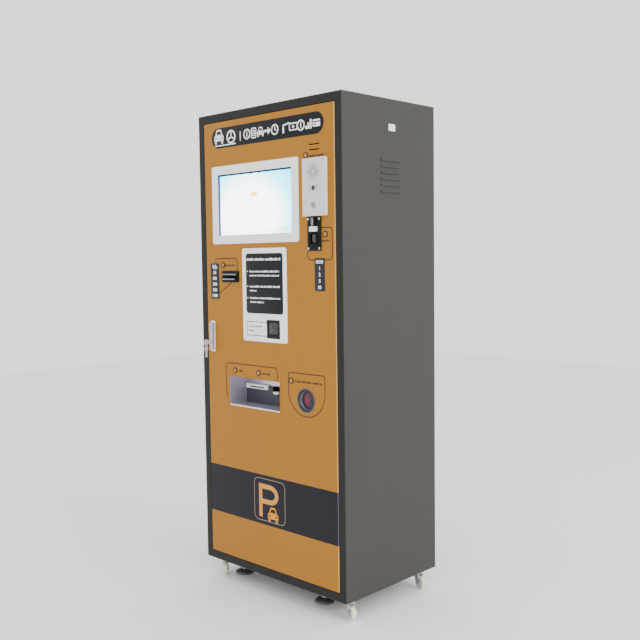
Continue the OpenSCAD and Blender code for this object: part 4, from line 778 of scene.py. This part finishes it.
def makeInstructions():
    p = guideCard
    face = p["out"]
    doorPiece("instructionPlate", addPlate, [(p["cx"], p["cz"], p["w"], p["h"], p["r"], 0, face, 1)], whitePlastic,
              ["instruction_plate"])
    doorPiece("instructionPanel", addPlate, [p["panel"] + (face - 0.2, face + 0.4, 0.2)], slateFilm)
    # a title, three points of two lines each and their bullets
    dice = random.Random(15)
    prints = [dashes(dice, -104, 82, 1251, 9.5)]
    left, right = -88, 73
    for top, second in ((1207, right), (1152, -48), (1110, -10)):
        prints += [dashes(dice, left, right, top, 7), dashes(dice, left, second, top - 15, 6),
                   [moved(circleOutline(2.6, 14), -100, top)]]
    printPiece("instructionLines", [(part, 0, 0) for part in prints], face + 0.3, face + 0.6, whiteInk)
    bx, bz, bw, bh = p["box"]
    prints = [(ribbon(roundedOutline(bw, bh, 6, 5), 2.8, True), bx, bz), (dashes(dice, -97, -20, 1006, 5.4), 0, 0),
              (dashes(dice, -97, -66, 990, 5.4), 0, 0)]
    printPiece("readerGuide", prints, face - 0.1, face + 0.25, greyInk)
    rx, rz, size, out = p["reader"]
    doorPiece("readerHousing", addFrame, [(rx, rz, (size, size, 3), (46, 40, 3, 0, 3), face - 2, out, 0.9)],
              mattBlack, ["code_reader"])
    doorPiece("readerWindow", addPlate, [(rx, rz + 3, 45.8, 39.8, 3, face - 2, out - 1.2, 0.3)], glossBlack)
    # the lens, its two lights and a printed aiming mark seen through the window
    bm = bmesh.new()
    for dx, dz, r in ((0, 8, 6), (-13, 2, 3), (13, 2, 3)):
        addTurned(bm, rx + dx, rz + dz, [(r, out - 1.4), (r, out - 1), (r - 0.8, out - 0.8), (r - 1.6, out - 1)], 28)
    for i in range(6):
        addShapes(bm, [roundedOutline(4, 4, 0.8, 2)], rx - 15 + 6 * i, rz - (12 if i % 2 else 9), out - 1.3, out - 1.05)
    meshPiece("readerLens", bm, inkGrey, "door")


# instruction plate with its dark panel, printed lines and code reader
guideCard = {"cx": -11.4, "cz": 1121, "w": 236, "h": 341, "r": 9, "out": 3,
             "panel": (-10.2, 1163, 197.2, 219.4, 11), "box": (-52.7, 997.2, 109.4, 50.5),
             "reader": (35.8, 998.5, 67.5, 5)}


def makeInstructions():
    p = guideCard
    bm = bmesh.new()
    addPlate(bm, p["cx"], p["cz"], p["w"], p["h"], p["r"], 0, p["out"], 1)
    meshPiece("instructionPlate", bm, whitePlastic, "door", ["instruction_plate"])
    px, pz, pw, ph, pr = p["panel"]
    bm = bmesh.new()
    addPlate(bm, px, pz, pw, ph, pr, p["out"] - 0.2, p["out"] + 0.4, 0.2)
    meshPiece("instructionPanel", bm, slateFilm, "door")
    dice = random.Random(15)
    back, front = p["out"] + 0.3, p["out"] + 0.6
    bm = bmesh.new()
    addShapes(bm, dashes(dice, -104, 82, 1251, 9.5), 0, 0, back, front)
    left, right = -88, 73
    for top, second in ((1207, right), (1152, -48), (1110, -10)):
        addShapes(bm, dashes(dice, left, right, top, 7), 0, 0, back, front)
        addShapes(bm, dashes(dice, left, second, top - 15, 6), 0, 0, back, front)
        addShapes(bm, [circleOutline(2.6, 14)], -100, top, back, front)
    meshPiece("instructionLines", bm, whiteInk, "door")
    bx, bz, bw, bh = p["box"]
    back, front = p["out"] - 0.1, p["out"] + 0.25
    bm = bmesh.new()
    addShapes(bm, ribbon(roundedOutline(bw, bh, 6, 5), 2.8, True), bx, bz, back, front)
    addShapes(bm, dashes(dice, -97, -20, 1006, 5.4), 0, 0, back, front)
    addShapes(bm, dashes(dice, -97, -66, 990, 5.4), 0, 0, back, front)
    meshPiece("readerGuide", bm, greyInk, "door")
    rx, rz, size, out = p["reader"]
    bm = bmesh.new()
    addFrame(bm, rx, rz, (size, size, 3), (46, 40, 3, 0, 3), p["out"] - 2, out, 0.9)
    meshPiece("readerHousing", bm, mattBlack, "door", ["code_reader"])
    bm = bmesh.new()
    addPlate(bm, rx, rz + 3, 45.8, 39.8, 3, p["out"] - 2, out - 1.2, 0.3)
    meshPiece("readerWindow", bm, glossBlack, "door")
    # the lens, its two lights and a printed aiming mark seen through the window
    bm = bmesh.new()
    for dx, dz, r in ((0, 8, 6), (-13, 2, 3), (13, 2, 3)):
        addTurned(bm, rx + dx, rz + dz, [(r, out - 1.4), (r, out - 1), (r - 0.8, out - 0.8), (r - 1.6, out - 1)], 28)
    for dx, dz in ((-15, -9), (-9, -12), (-3, -9), (3, -12), (9, -9), (15, -12)):
        addShapes(bm, [roundedOutline(4, 4, 0.8, 2)], rx + dx, rz + dz, out - 1.3, out - 1.05)
    meshPiece("readerLens", bm, inkGrey, "door")


makeDisplay()
makeInstructions()
print("display and instructions made")


# intercom: drilled silver face with a starburst of sound holes, camera, lights and call button
intercomParts = {"cx": 254.8, "cz": 1492.5, "w": 107.5, "h": 195, "faceBack": 12, "faceOut": 14, "fold": 15,
                 "rays": 20, "raySlots": [[(6, 17), (20, 33)], [(11, 28)]], "rayWidth": 2.3, "speakerZ": 1543,
                 "cameraZ": 1489, "micZ": 1448, "buttonZ": 1431.5, "lightX": 17, "screwX": 46, "screwZ": 90}


# everything that is slotted or drilled through the face
def intercomDrill():
    p = intercomParts
    cx, cz, ends = p["cx"], p["cz"], (p["faceBack"] - 3, p["faceOut"] + 3)
    drill = bmesh.new()
    for ray in range(p["rays"]):
        a = 2 * math.pi * ray / p["rays"]
        for r0, r1 in p["raySlots"][ray % 2]:
            slot = moved(roundedOutline(r1 - r0, p["rayWidth"], p["rayWidth"] / 2, 3), (r0 + r1) / 2, 0)
            slot = [(x * math.cos(a) - z * math.sin(a), x * math.sin(a) + z * math.cos(a)) for x, z in slot]
            addLoft(drill, [onDoor(slot, cx, p["speakerZ"], out) for out in ends])
    holes = [(cx + side * p["lightX"], p["cameraZ"] + dz, 2.5, 14) for side in (-1, 1) for dz in (-9, 0, 9)]
    holes += [(cx, p["cameraZ"], 9, 32), (cx, p["buttonZ"], 10.4, 40)]
    holes += [(cx + dx, p["micZ"], 0.9, 8) for dx in (-2, 2)]
    holes += [(cx + sx * p["screwX"], cz + sz * p["screwZ"], 2.1, 14) for sx, sz in fourCorners]
    for x, z, r, steps in holes:
        addTurned(drill, x, z, [(r, out) for out in ends], steps)
    mesh = bpy.data.meshes.new("drill")
    drill.to_mesh(mesh)
    drill.free()
    cutter = bpy.data.objects.new("drill", mesh)
    bpy.context.scene.collection.objects.link(cutter)
    return cutter


def makeIntercom():
    p = intercomParts
    cx, cz, w, h = p["cx"], p["cz"], p["w"], p["h"]
    back, out, fold = p["faceBack"], p["faceOut"], p["fold"]
    # the face is flat in the middle and falls back slightly along both long edges
    half = [(w / 2 - fold, out), (w / 2 - 0.6, out - 1.1), (w / 2, out - 1.6), (w / 2, back)]
    section = [(-x, o) for x, o in half[::-1]] + half
    bm = bmesh.new()
    addLoft(bm, [[doorPoint(cx + x, o, z) for x, o in section] for z in (cz - h / 2, cz + h / 2)])
    face = meshPiece("intercomFace", bm, silverFace, "door", ["intercom_plate"])
    cutter = intercomDrill()
    cut = face.modifiers.new("holes", "BOOLEAN")
    cut.object = cutter
    cut.solver = "EXACT"
    applied = bpy.data.meshes.new_from_object(face.evaluated_get(bpy.context.evaluated_depsgraph_get()))
    face.modifiers.clear()
    face.data = applied
    bpy.data.objects.remove(cutter)
    smoothByAngle(face.data, 0.5)
    # what shows in the holes: dark cloth, camera window and lens, lights, corner screws
    cloth = [(p["speakerZ"], 74, 74, 37), (p["cameraZ"], 60, 30, 3), (p["micZ"], 16, 6, 2)]
    doorPiece("intercomCloth", addPlate, [(cx,) + patch + (back - 0.6, back + 0.2, 0.1) for patch in cloth],
              rubberSeal)
    lens = [(8.9, back), (8.9, out - 0.2), (8.2, out + 0.5), (6.4, out + 0.5), (5.6, out - 0.4), (4.6, out - 0.2),
            (2.4, out + 0.6), (0.01, out + 0.9)]
    doorPiece("intercomCamera", addTurned, [(cx, p["cameraZ"], lens, 36)], glossBlack)
    light = [(2.4, back), (2.4, out - 0.4), (1.2, out + 0.1), (0.01, out + 0.3)]
    doorPiece("intercomLights", addTurned, [(cx + side * p["lightX"], p["cameraZ"] + dz, light, 16)
                                            for side in (-1, 1) for dz in (-9, 0, 9)], glossBlack)
    screw = [(2, back), (2, out - 0.9), (1.3, out - 0.7), (1.2, out - 1.5)]
    doorPiece("intercomScrews", addTurned, [(cx + sx * p["screwX"], cz + sz * p["screwZ"], screw, 18)
                                            for sx, sz in fourCorners], darkZinc)
    # call sign on the button: a bell in a ring
    out = (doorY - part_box("call_button")[0].y) / mm
    bell = [(-4.6, -3)] + arc(0, 1, 3.2, 3.6, 180, 0, 8) + [(4.6, -3)]
    sign = [(ribbon(circleOutline(8, 30), 1.7, True), 0), ([bell], 0.6), ([circleOutline(1.2, 12)], -4.2)]
    printPiece("callSign", [(outlines, cx, p["buttonZ"] + dz) for outlines, dz in sign], out - 0.05, out + 0.2,
               inkGrey, body="call_button")


# coin entry: silver slot cheeks and four screws on the black plate
coinParts = {"cx": 246.8, "cz": 1335, "slotZ": 1376, "cheekX": 3.1, "screwX": 26, "screwZ": 51, "screwR": 3.4,
             "plateOut": 4, "hoodBulge": 4.2}


def makeCoinEntry():
    p = coinParts
    nose = (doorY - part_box("coin_faceplate")[0].y) / mm
    seat = p["plateOut"]
    doorPiece("coinSlotCheeks", addPlate, [(p["cx"] + side * p["cheekX"], p["slotZ"], 2.2, 27, 0.9, seat + 1,
                                            nose + 0.7, 0.5) for side in (-1, 1)], satinSteel)
    r = p["screwR"]
    head = [(r, seat - 0.2), (r, seat + 0.5), (r * 0.8, seat + 1.3), (r * 0.45, seat + 1.6), (r * 0.4, seat + 0.7),
            (0.01, seat + 0.7)]
    doorPiece("coinPlateScrews", addTurned, [(p["cx"] + sx * p["screwX"], p["cz"] + sz * p["screwZ"], head, 24)
                                             for sx, sz in fourCorners], satinSteel)
    # the return flap: a glossy pressed hood hung from its upper edge
    lo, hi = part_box("return_flap")
    w, h = (hi.x - lo.x) / mm - 0.2, (hi.z - lo.z) / mm - 0.2
    fx, fz, seat = (lo.x + hi.x) / 2 / mm, (lo.z + hi.z) / 2 / mm, (doorY - lo.y) / mm
    loops = []
    for i in range(13):
        t = i / 12
        bulge = p["hoodBulge"] * math.sin(math.pi * min(1, 0.12 + t * 0.88)) ** 0.6
        front = [(fx + w / 2 * math.sin(math.radians(a)), seat - 0.6 + bulge * math.cos(math.radians(a)))
                 for a in range(-90, 91, 15)]
        behind = [(x, out - 0.7) for x, out in front[::-1]]
        loops.append([doorPoint(x, out, fz + h / 2 - h * t) for x, out in front + behind])
    bm = bmesh.new()
    addLoft(bm, loops)
    meshPiece("returnHood", bm, glossBlack, "return_flap", ["return_flap"])


# banknote entry: two light grey strips on the lips, painted highlights where the rounded lips catch the light
noteParts = {"cx": -199.5, "upper": (1195.6, 8, 80, 4.2), "lower": (1177.6, 14, 74, 4.6)}


def makeNoteEntry():
    p = noteParts
    doorPiece("noteLipHighlights", addPlate, [(p["cx"], z, w, h, h / 2, out - 0.4, out + 0.8, 0.5)
                                            for z, out, w, h in (p["upper"], p["lower"])], lipHighlightGrey)


# pick-up tray: folded steel liner, dark lower chute, pale lip, printer mouth and coin outlet
trayParts = {"cx": -77.5, "cz": 754.5, "w": 278, "h": 110, "back": -87, "wall": 0.8,
             "mouth": {"x": -150, "z": 766.3}, "outlet": {"x": -42, "z": 758.5, "w": 34, "h": 27}}


def makeTray():
    p = trayParts
    mouth, outlet = p["mouth"], p["outlet"]
    # dark plate over the lower part of the back wall, cut out round the coin outlet
    half = p["w"] / 2 - 1.2
    ox, oz, ow, oh = outlet["x"], outlet["z"], outlet["w"], outlet["h"]
    chute = [rectangle(p["cx"] - half, p["cz"] - 53, p["cx"] + half, p["cz"] + 19),
             rectangle(ox - ow / 2, oz - oh / 2, ox + ow / 2, oz + oh / 2)]
    printPiece("trayChute", [(chute, 0, 0)], p["back"] + 2.2, p["back"] + 4, chuteGrey)
    # floor plate and the two side cheeks, folded up from one sheet
    x0, x1 = p["cx"] - p["w"] / 2 + 0.3, p["cx"] + p["w"] / 2 - 0.3
    z0, z1 = p["cz"] - p["h"] / 2 + 0.3, p["cz"] + p["h"] / 2 - 0.3
    wall = p["wall"]
    section = [(x0, z1), (x0, z0), (x1, z0), (x1, z1), (x1 - wall, z1), (x1 - wall, z0 + wall), (x0 + wall, z0 + wall),
               (x0 + wall, z1)]
    bm = bmesh.new()
    addLoft(bm, [onDoor(section, 0, 0, out) for out in (p["back"] + 2, -0.4)])
    meshPiece("trayLiner", bm, trayPale, "door")
    # pale lip folded along the front of the floor
    section = [(0.9, -1.6), (1.3, -1.2), (1.3, 1.6), (0.7, 2.4), (-1.5, 2.4), (-1.5, -0.2), (0.2, -0.2), (0.2, -1.6)]
    bm = bmesh.new()
    addLoft(bm, [[doorPoint(x, out, z0 + wall + z) for out, z in section] for x in (x0 + 1.2, x1 - 1.2)])
    meshPiece("trayLip", bm, lipWhite, "door")
    doorPiece("printerMouth", addFrame, [(mouth["x"], mouth["z"], (122, 18.5, 4), (112, 5, 2, 0, -2.3), -85, -75,
                                          1.4)], whitePlastic)
    # coin outlet: a dark surround, a black sleeve lining the hole as painted shade inside it, and a white tongue along
    # its lower edge
    surround = (ox, oz, (ow + 5, oh + 5, 3), (ow - 1.4, oh - 1.4, 2, 0, 0), -83, -78, 1)
    shadeSleeve = (ox, oz, (ow - 0.3, oh - 0.3, 2), (ow - 1.6, oh - 1.6, 2, 0, 0), -92, -82.5, 0.3)
    doorPiece("coinOutlet", addFrame, [surround, shadeSleeve], mattBlack)
    doorPiece("coinTongue", addPlate, [(ox + 1, oz - 7.5, ow - 9, 9, 2, -90, -72, 1.2)], whitePlastic)


# scanner: steel rim, dark cone, window with a dim red light behind it
scanParts = {"cx": 193.6, "cz": 756.4, "r": 40, "rim": 44, "deep": 13, "glow": 0.42}


def scanWindow():
    mat, tree, shader = newMaterial("scanWindow", (0.024, 0.018, 0.034, 1), 0.35, specular=0.3)
    p = scanParts
    red = glowSpot(tree, (p["cx"] - 7, -p["deep"], p["cz"] + 1), (19, 27),
                   [(0, (0.004, 0.001, 0.004, 1)), (0.4, (0.3, 0.006, 0.01, 1)), (1, (0.6, 0.012, 0.014, 1))])
    tree.links.new(red, shader.inputs["Emission Color"])
    shader.inputs["Emission Strength"].default_value = p["glow"]
    addBump(tree, shader, noiseNode(tree, objectCoords(tree), 900, 1.0), 0.1, 0.00002)
    return mat


def makeScanner():
    p = scanParts
    cx, cz, r, rim, deep = p["cx"], p["cz"], p["r"], p["rim"], -p["deep"]
    ring = [(r - 0.6, 0.1), (rim, 0.05), (rim, 0.8), (rim - 0.6, 1.3), (r + 1.4, 1.5), (r, 1.1), (r - 0.8, 0.2),
            (r - 1, -3), (r, -3)]
    doorPiece("scannerRim", addTurned, [(cx, cz, ring, 64, True)], darkZinc)
    cone = [(r - 0.3, -2.8), (r - 1.2, -3), (r - 2.4, deep * 0.5), (r - 5.5, deep + 1), (r - 7.5, deep),
            (r - 6, deep - 1.5), (r - 0.3, deep - 1.5)]
    doorPiece("scannerCone", addTurned, [(cx, cz, cone, 64, True)], coneGrey, ["scanner_cup"])
    pane = [(r - 0.4, deep - 4), (r - 0.4, deep - 1.6), (r - 7.4, deep - 0.6), (r - 10, deep + 0.2), (0.01, deep + 0.8)]
    doorPiece("scannerWindow", addTurned, [(cx, cz, pane, 56)], scanWindow())


# inside: a wiring card on the back of the door and a type label on the larger devices
insideParts = {"card": (-60, 430, 150, 212), "sheet": -2, "thick": 0.4,
               "tags": {"control_computer": (70, 26), "power_supply": (44, 22), "coin_hopper": (46, 24)}}


# the middle of the largest flat area of a node that faces forward
def largestFront(name):
    planes = {}
    mesh = nodes[name].data
    for face in mesh.polygons:
        if face.normal.y < -0.99:
            planes.setdefault(round(face.center.y, 4), []).append(face)
    y, faces = max(planes.items(), key=lambda item: sum(face.area for face in item[1]))
    points = [mesh.vertices[i].co for face in faces for i in face.vertices]
    xs, zs = [q.x for q in points], [q.z for q in points]
    return (min(xs) + max(xs)) / 2, y, (min(zs) + max(zs)) / 2


def makeInside():
    p = insideParts
    dice = random.Random(21)
    cx, cz, w, h = p["card"]
    front = p["sheet"] - p["thick"]
    doorPiece("wiringCard", addPlate, [(cx, cz, w, h, 4, p["sheet"] + 0.1, front, -0.1)], paperWhite)
    prints = [dashes(dice, cx - w / 2 + 12, cx + w / 2 - dice.choice((14, 14, 50)), cz + h / 2 - 18 - i * 11, 5)
              for i in range(7)]
    # three boxes and the two lines that join them
    for box in ((-50, -78, -14, -52), (14, -78, 50, -52), (-20, -34, 22, -8)):
        prints.append(ribbon(moved(rectangle(*box), cx, cz), 1.6, True))
    for line in ([(-32, -52), (-32, -21), (-20, -21)], [(32, -52), (32, -21), (22, -21)]):
        prints.append(ribbon(moved(line, cx, cz), 1.4))
    printPiece("wiringLines", [(part, 0, 0) for part in prints], front - 0.2, front + 0.1, inkGrey)
    for node, (w, h) in p["tags"].items():
        x, y, z = largestFront(node)
        out = (doorY - y) / mm
        bm = bmesh.new()
        addPlate(bm, x / mm, z / mm, w, h, 1.5, out - 0.2, out + 0.3, 0.1)
        meshPiece("typeLabel_" + node, bm, paperWhite, "cabinet")


makeInside()
makeIntercom()
makeCoinEntry()
makeNoteEntry()
makeTray()
makeScanner()
print("door devices made")


# label on the right side panel
stickerParts = {"y0": 239.6, "y1": 275.2, "z0": 1690.4, "z1": 1713.8, "thick": 0.25, "sheet": 2}


def makeSticker():
    p = stickerParts
    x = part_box("front_frame")[1].x + p["sheet"] * mm      # the panel is folded over the frame's side
    cy, cz = (p["y0"] + p["y1"]) / 2, (p["z0"] + p["z1"]) / 2
    bm = bmesh.new()
    loops = []
    for dx, shrink in ((0, 0), (p["thick"] * 0.7, 0), (p["thick"], 0.2)):
        w, h = p["y1"] - p["y0"] - 2 * shrink, p["z1"] - p["z0"] - 2 * shrink
        loops.append([Vector((x + dx * mm, frontY + (cy + a) * mm, (cz + b) * mm))
                      for a, b in roundedOutline(w, h, 1.5 - shrink, 4)])
    addLoft(bm, loops)
    meshPiece("sideLabel", bm, paperWhite, "cabinet")


# a shape turned about any axis: profile is (radius, place along the axis) in mm
def turnedAbout(bm, centre, axis, profile, steps=40, closed=False):
    side = axis.orthogonal().normalized()
    other = axis.cross(side)
    ring = [side * c + other * s for c, s in circleOutline(1, steps)]
    addLoft(bm, [[centre + axis * (t * mm) + point * (max(r, 0.01) * mm) for point in ring] for r, t in profile],
            closed=closed)


# casters: each wheel is a cream tyre on a white hub, turned about the axle that the frame gives
casterParts = {"tyre": 5.5, "half": 9, "bore": 4.3}


def makeCasters():
    half, tyre = casterParts["half"], casterParts["tyre"]
    web = half * 0.45
    joints = {joint["name"]: joint for joint in frame["joints"]}
    for corner in corners:
        wheel = "caster_wheel_" + corner
        lo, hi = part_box(wheel)
        centre = (lo + hi) / 2
        axis = Vector(joints["wheel_roll_" + corner]["axis"]).normalized()
        r = (hi.z - lo.z) / 2 / mm
        hub = r - tyre
        profile = [(hub, 0.8 - half), (r - 3, 0.6 - half), (r - 1, 2.2 - half), (r - 0.1, -web)]
        mirrored = [(q, -t) for q, t in profile[::-1]]
        bm = bmesh.new()
        turnedAbout(bm, centre, axis, profile + [(r, 0)] + mirrored, 56, True)
        meshPiece("tyre_" + corner, bm, creamTyre, wheel, [wheel])
        profile = [(casterParts["bore"], -half), (8.5, -half), (9.2, 0.8 - half), (9.5, -web), (hub - 3, -web),
                   (hub - 2.2, 0.6 - half), (hub + 0.2, 0.4 - half)]
        mirrored = [(q, -t) for q, t in profile[::-1]]
        bm = bmesh.new()
        turnedAbout(bm, centre, axis, profile + mirrored, 48, True)
        meshPiece("hub_" + corner, bm, hubWhite, wheel)


# levelling feet: a shallow domed pad under a threaded stud with its lock nut
footParts = {"rise": 15, "neckR": 11, "studR": 6, "pitch": 1.75, "nut": 8.6}


def makeFeet():
    p = footParts
    rise, stud, pitch, nut = p["rise"], p["studR"], p["pitch"], p["nut"]
    up = Vector((0, 0, 1))
    for corner in corners:
        foot = "foot_" + corner
        lo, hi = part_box(foot)
        centre = Vector(((lo.x + hi.x) / 2, (lo.y + hi.y) / 2, lo.z))
        r, top = (hi.x - lo.x) / 2 / mm, (hi.z - lo.z) / mm
        dome = [(0.01, 0.6), (r * 0.8, 0.6), (r - 2, 0), (r - 0.4, 0.8), (r, 2.2)]
        for i in range(1, 11):
            a = math.radians(90 * i / 10)
            dome.append((p["neckR"] + (r - p["neckR"]) * math.cos(a), 2.2 + (rise - 2.2) * math.sin(a)))
        dome += [(9.5, rise + 1.2), (0.01, rise + 1.2)]
        bm = bmesh.new()
        turnedAbout(bm, centre, up, dome, 56)
        meshPiece("pad_" + corner, bm, footRubber, foot, [foot])
        thread = []
        z = rise
        while z < top - 2:
            thread += [(stud, z), (stud - 0.9, z + pitch / 2)]
            z += pitch
        bm = bmesh.new()
        turnedAbout(bm, centre, up, thread + [(stud - 1, top)], 28)
        turnedAbout(bm, centre, up, [(6.1, rise + 1.2), (9.8, rise + 1.2), (10.5, rise + 2), (10.5, rise + nut - 0.8),
                                     (9.8, rise + nut), (6.1, rise + nut)], 6, True)
        meshPiece("stud_" + corner, bm, zinc, foot)


makeSticker()
makeCasters()
makeFeet()
print("casters, feet and label made")


# stage: floor, soft light from the front and the right, and a camera at standing height
stageParts = {"floor": 14.0, "sky": 1.7}
softboxes = {"frontSoftbox": ((2.6, -3.4, 2.8), (0.2, 0, 1.1), (2.2, 2.2), 34),      # place, target, size, watts
             "sideSoftbox": ((4.4, 0.2, 2.6), (0, 0, 1.4), (2.0, 2.0), 110)}
cameraParts = {"place": (2.333, -2.128 + frontY, 1.2488), "turn": 44.183, "down": 3.994, "roll": -0.712,
               "lens": 49.06}


def makeStage():
    bm = bmesh.new()
    half = stageParts["floor"] / 2
    bm.faces.new([bm.verts.new((x * half, y * half, -0.0005)) for x, y in ((-1, -1), (1, -1), (1, 1), (-1, 1))])
    mesh = bpy.data.meshes.new("floor")
    bm.to_mesh(mesh)
    bm.free()
    floor = bpy.data.objects.new("floor", mesh)
    bpy.context.scene.collection.objects.link(floor)
    mat, tree, shader = newMaterial("floorPaper", (0.9, 0.9, 0.9, 1), 0.7)
    mesh.materials.append(mat)
    world = bpy.data.worlds.new("studio")
    bpy.context.scene.world = world
    world.use_nodes = True
    sky = world.node_tree.nodes["Background"].inputs
    sky["Color"].default_value = (1, 1, 1, 1)
    sky["Strength"].default_value = stageParts["sky"]


def addLamp(name, place, target, size, power):
    light = bpy.data.lights.new(name, "AREA")
    light.shape = "RECTANGLE"
    light.size, light.size_y = size
    light.energy = power
    lamp = bpy.data.objects.new(name, light)
    lamp.location = place
    lamp.rotation_euler = (Vector(target) - Vector(place)).to_track_quat("-Z", "Y").to_euler()
    bpy.context.scene.collection.objects.link(lamp)


def addCamera():
    view = cameraParts
    camera = bpy.data.cameras.new("camera")
    camera.lens = view["lens"]
    camera.sensor_width = 36
    camera.clip_end = 60
    eye = bpy.data.objects.new("camera", camera)
    bpy.context.scene.collection.objects.link(eye)
    az, down, roll = (math.radians(view[k]) for k in ("turn", "down", "roll"))
    ahead = Vector((-math.sin(az) * math.cos(down), math.cos(az) * math.cos(down), -math.sin(down)))
    right = Vector((math.cos(az), math.sin(az), 0))
    up = right.cross(ahead)
    x = right * math.cos(roll) + up * math.sin(roll)
    y = up * math.cos(roll) - right * math.sin(roll)
    eye.matrix_world = Matrix(((x.x, y.x, -ahead.x, view["place"][0]), (x.y, y.y, -ahead.y, view["place"][1]),
                               (x.z, y.z, -ahead.z, view["place"][2]), (0, 0, 0, 1)))
    bpy.context.scene.camera = eye


makeStage()
for name, (place, target, size, power) in softboxes.items():
    addLamp(name, place, target, size, power)
addCamera()
print("stage set")
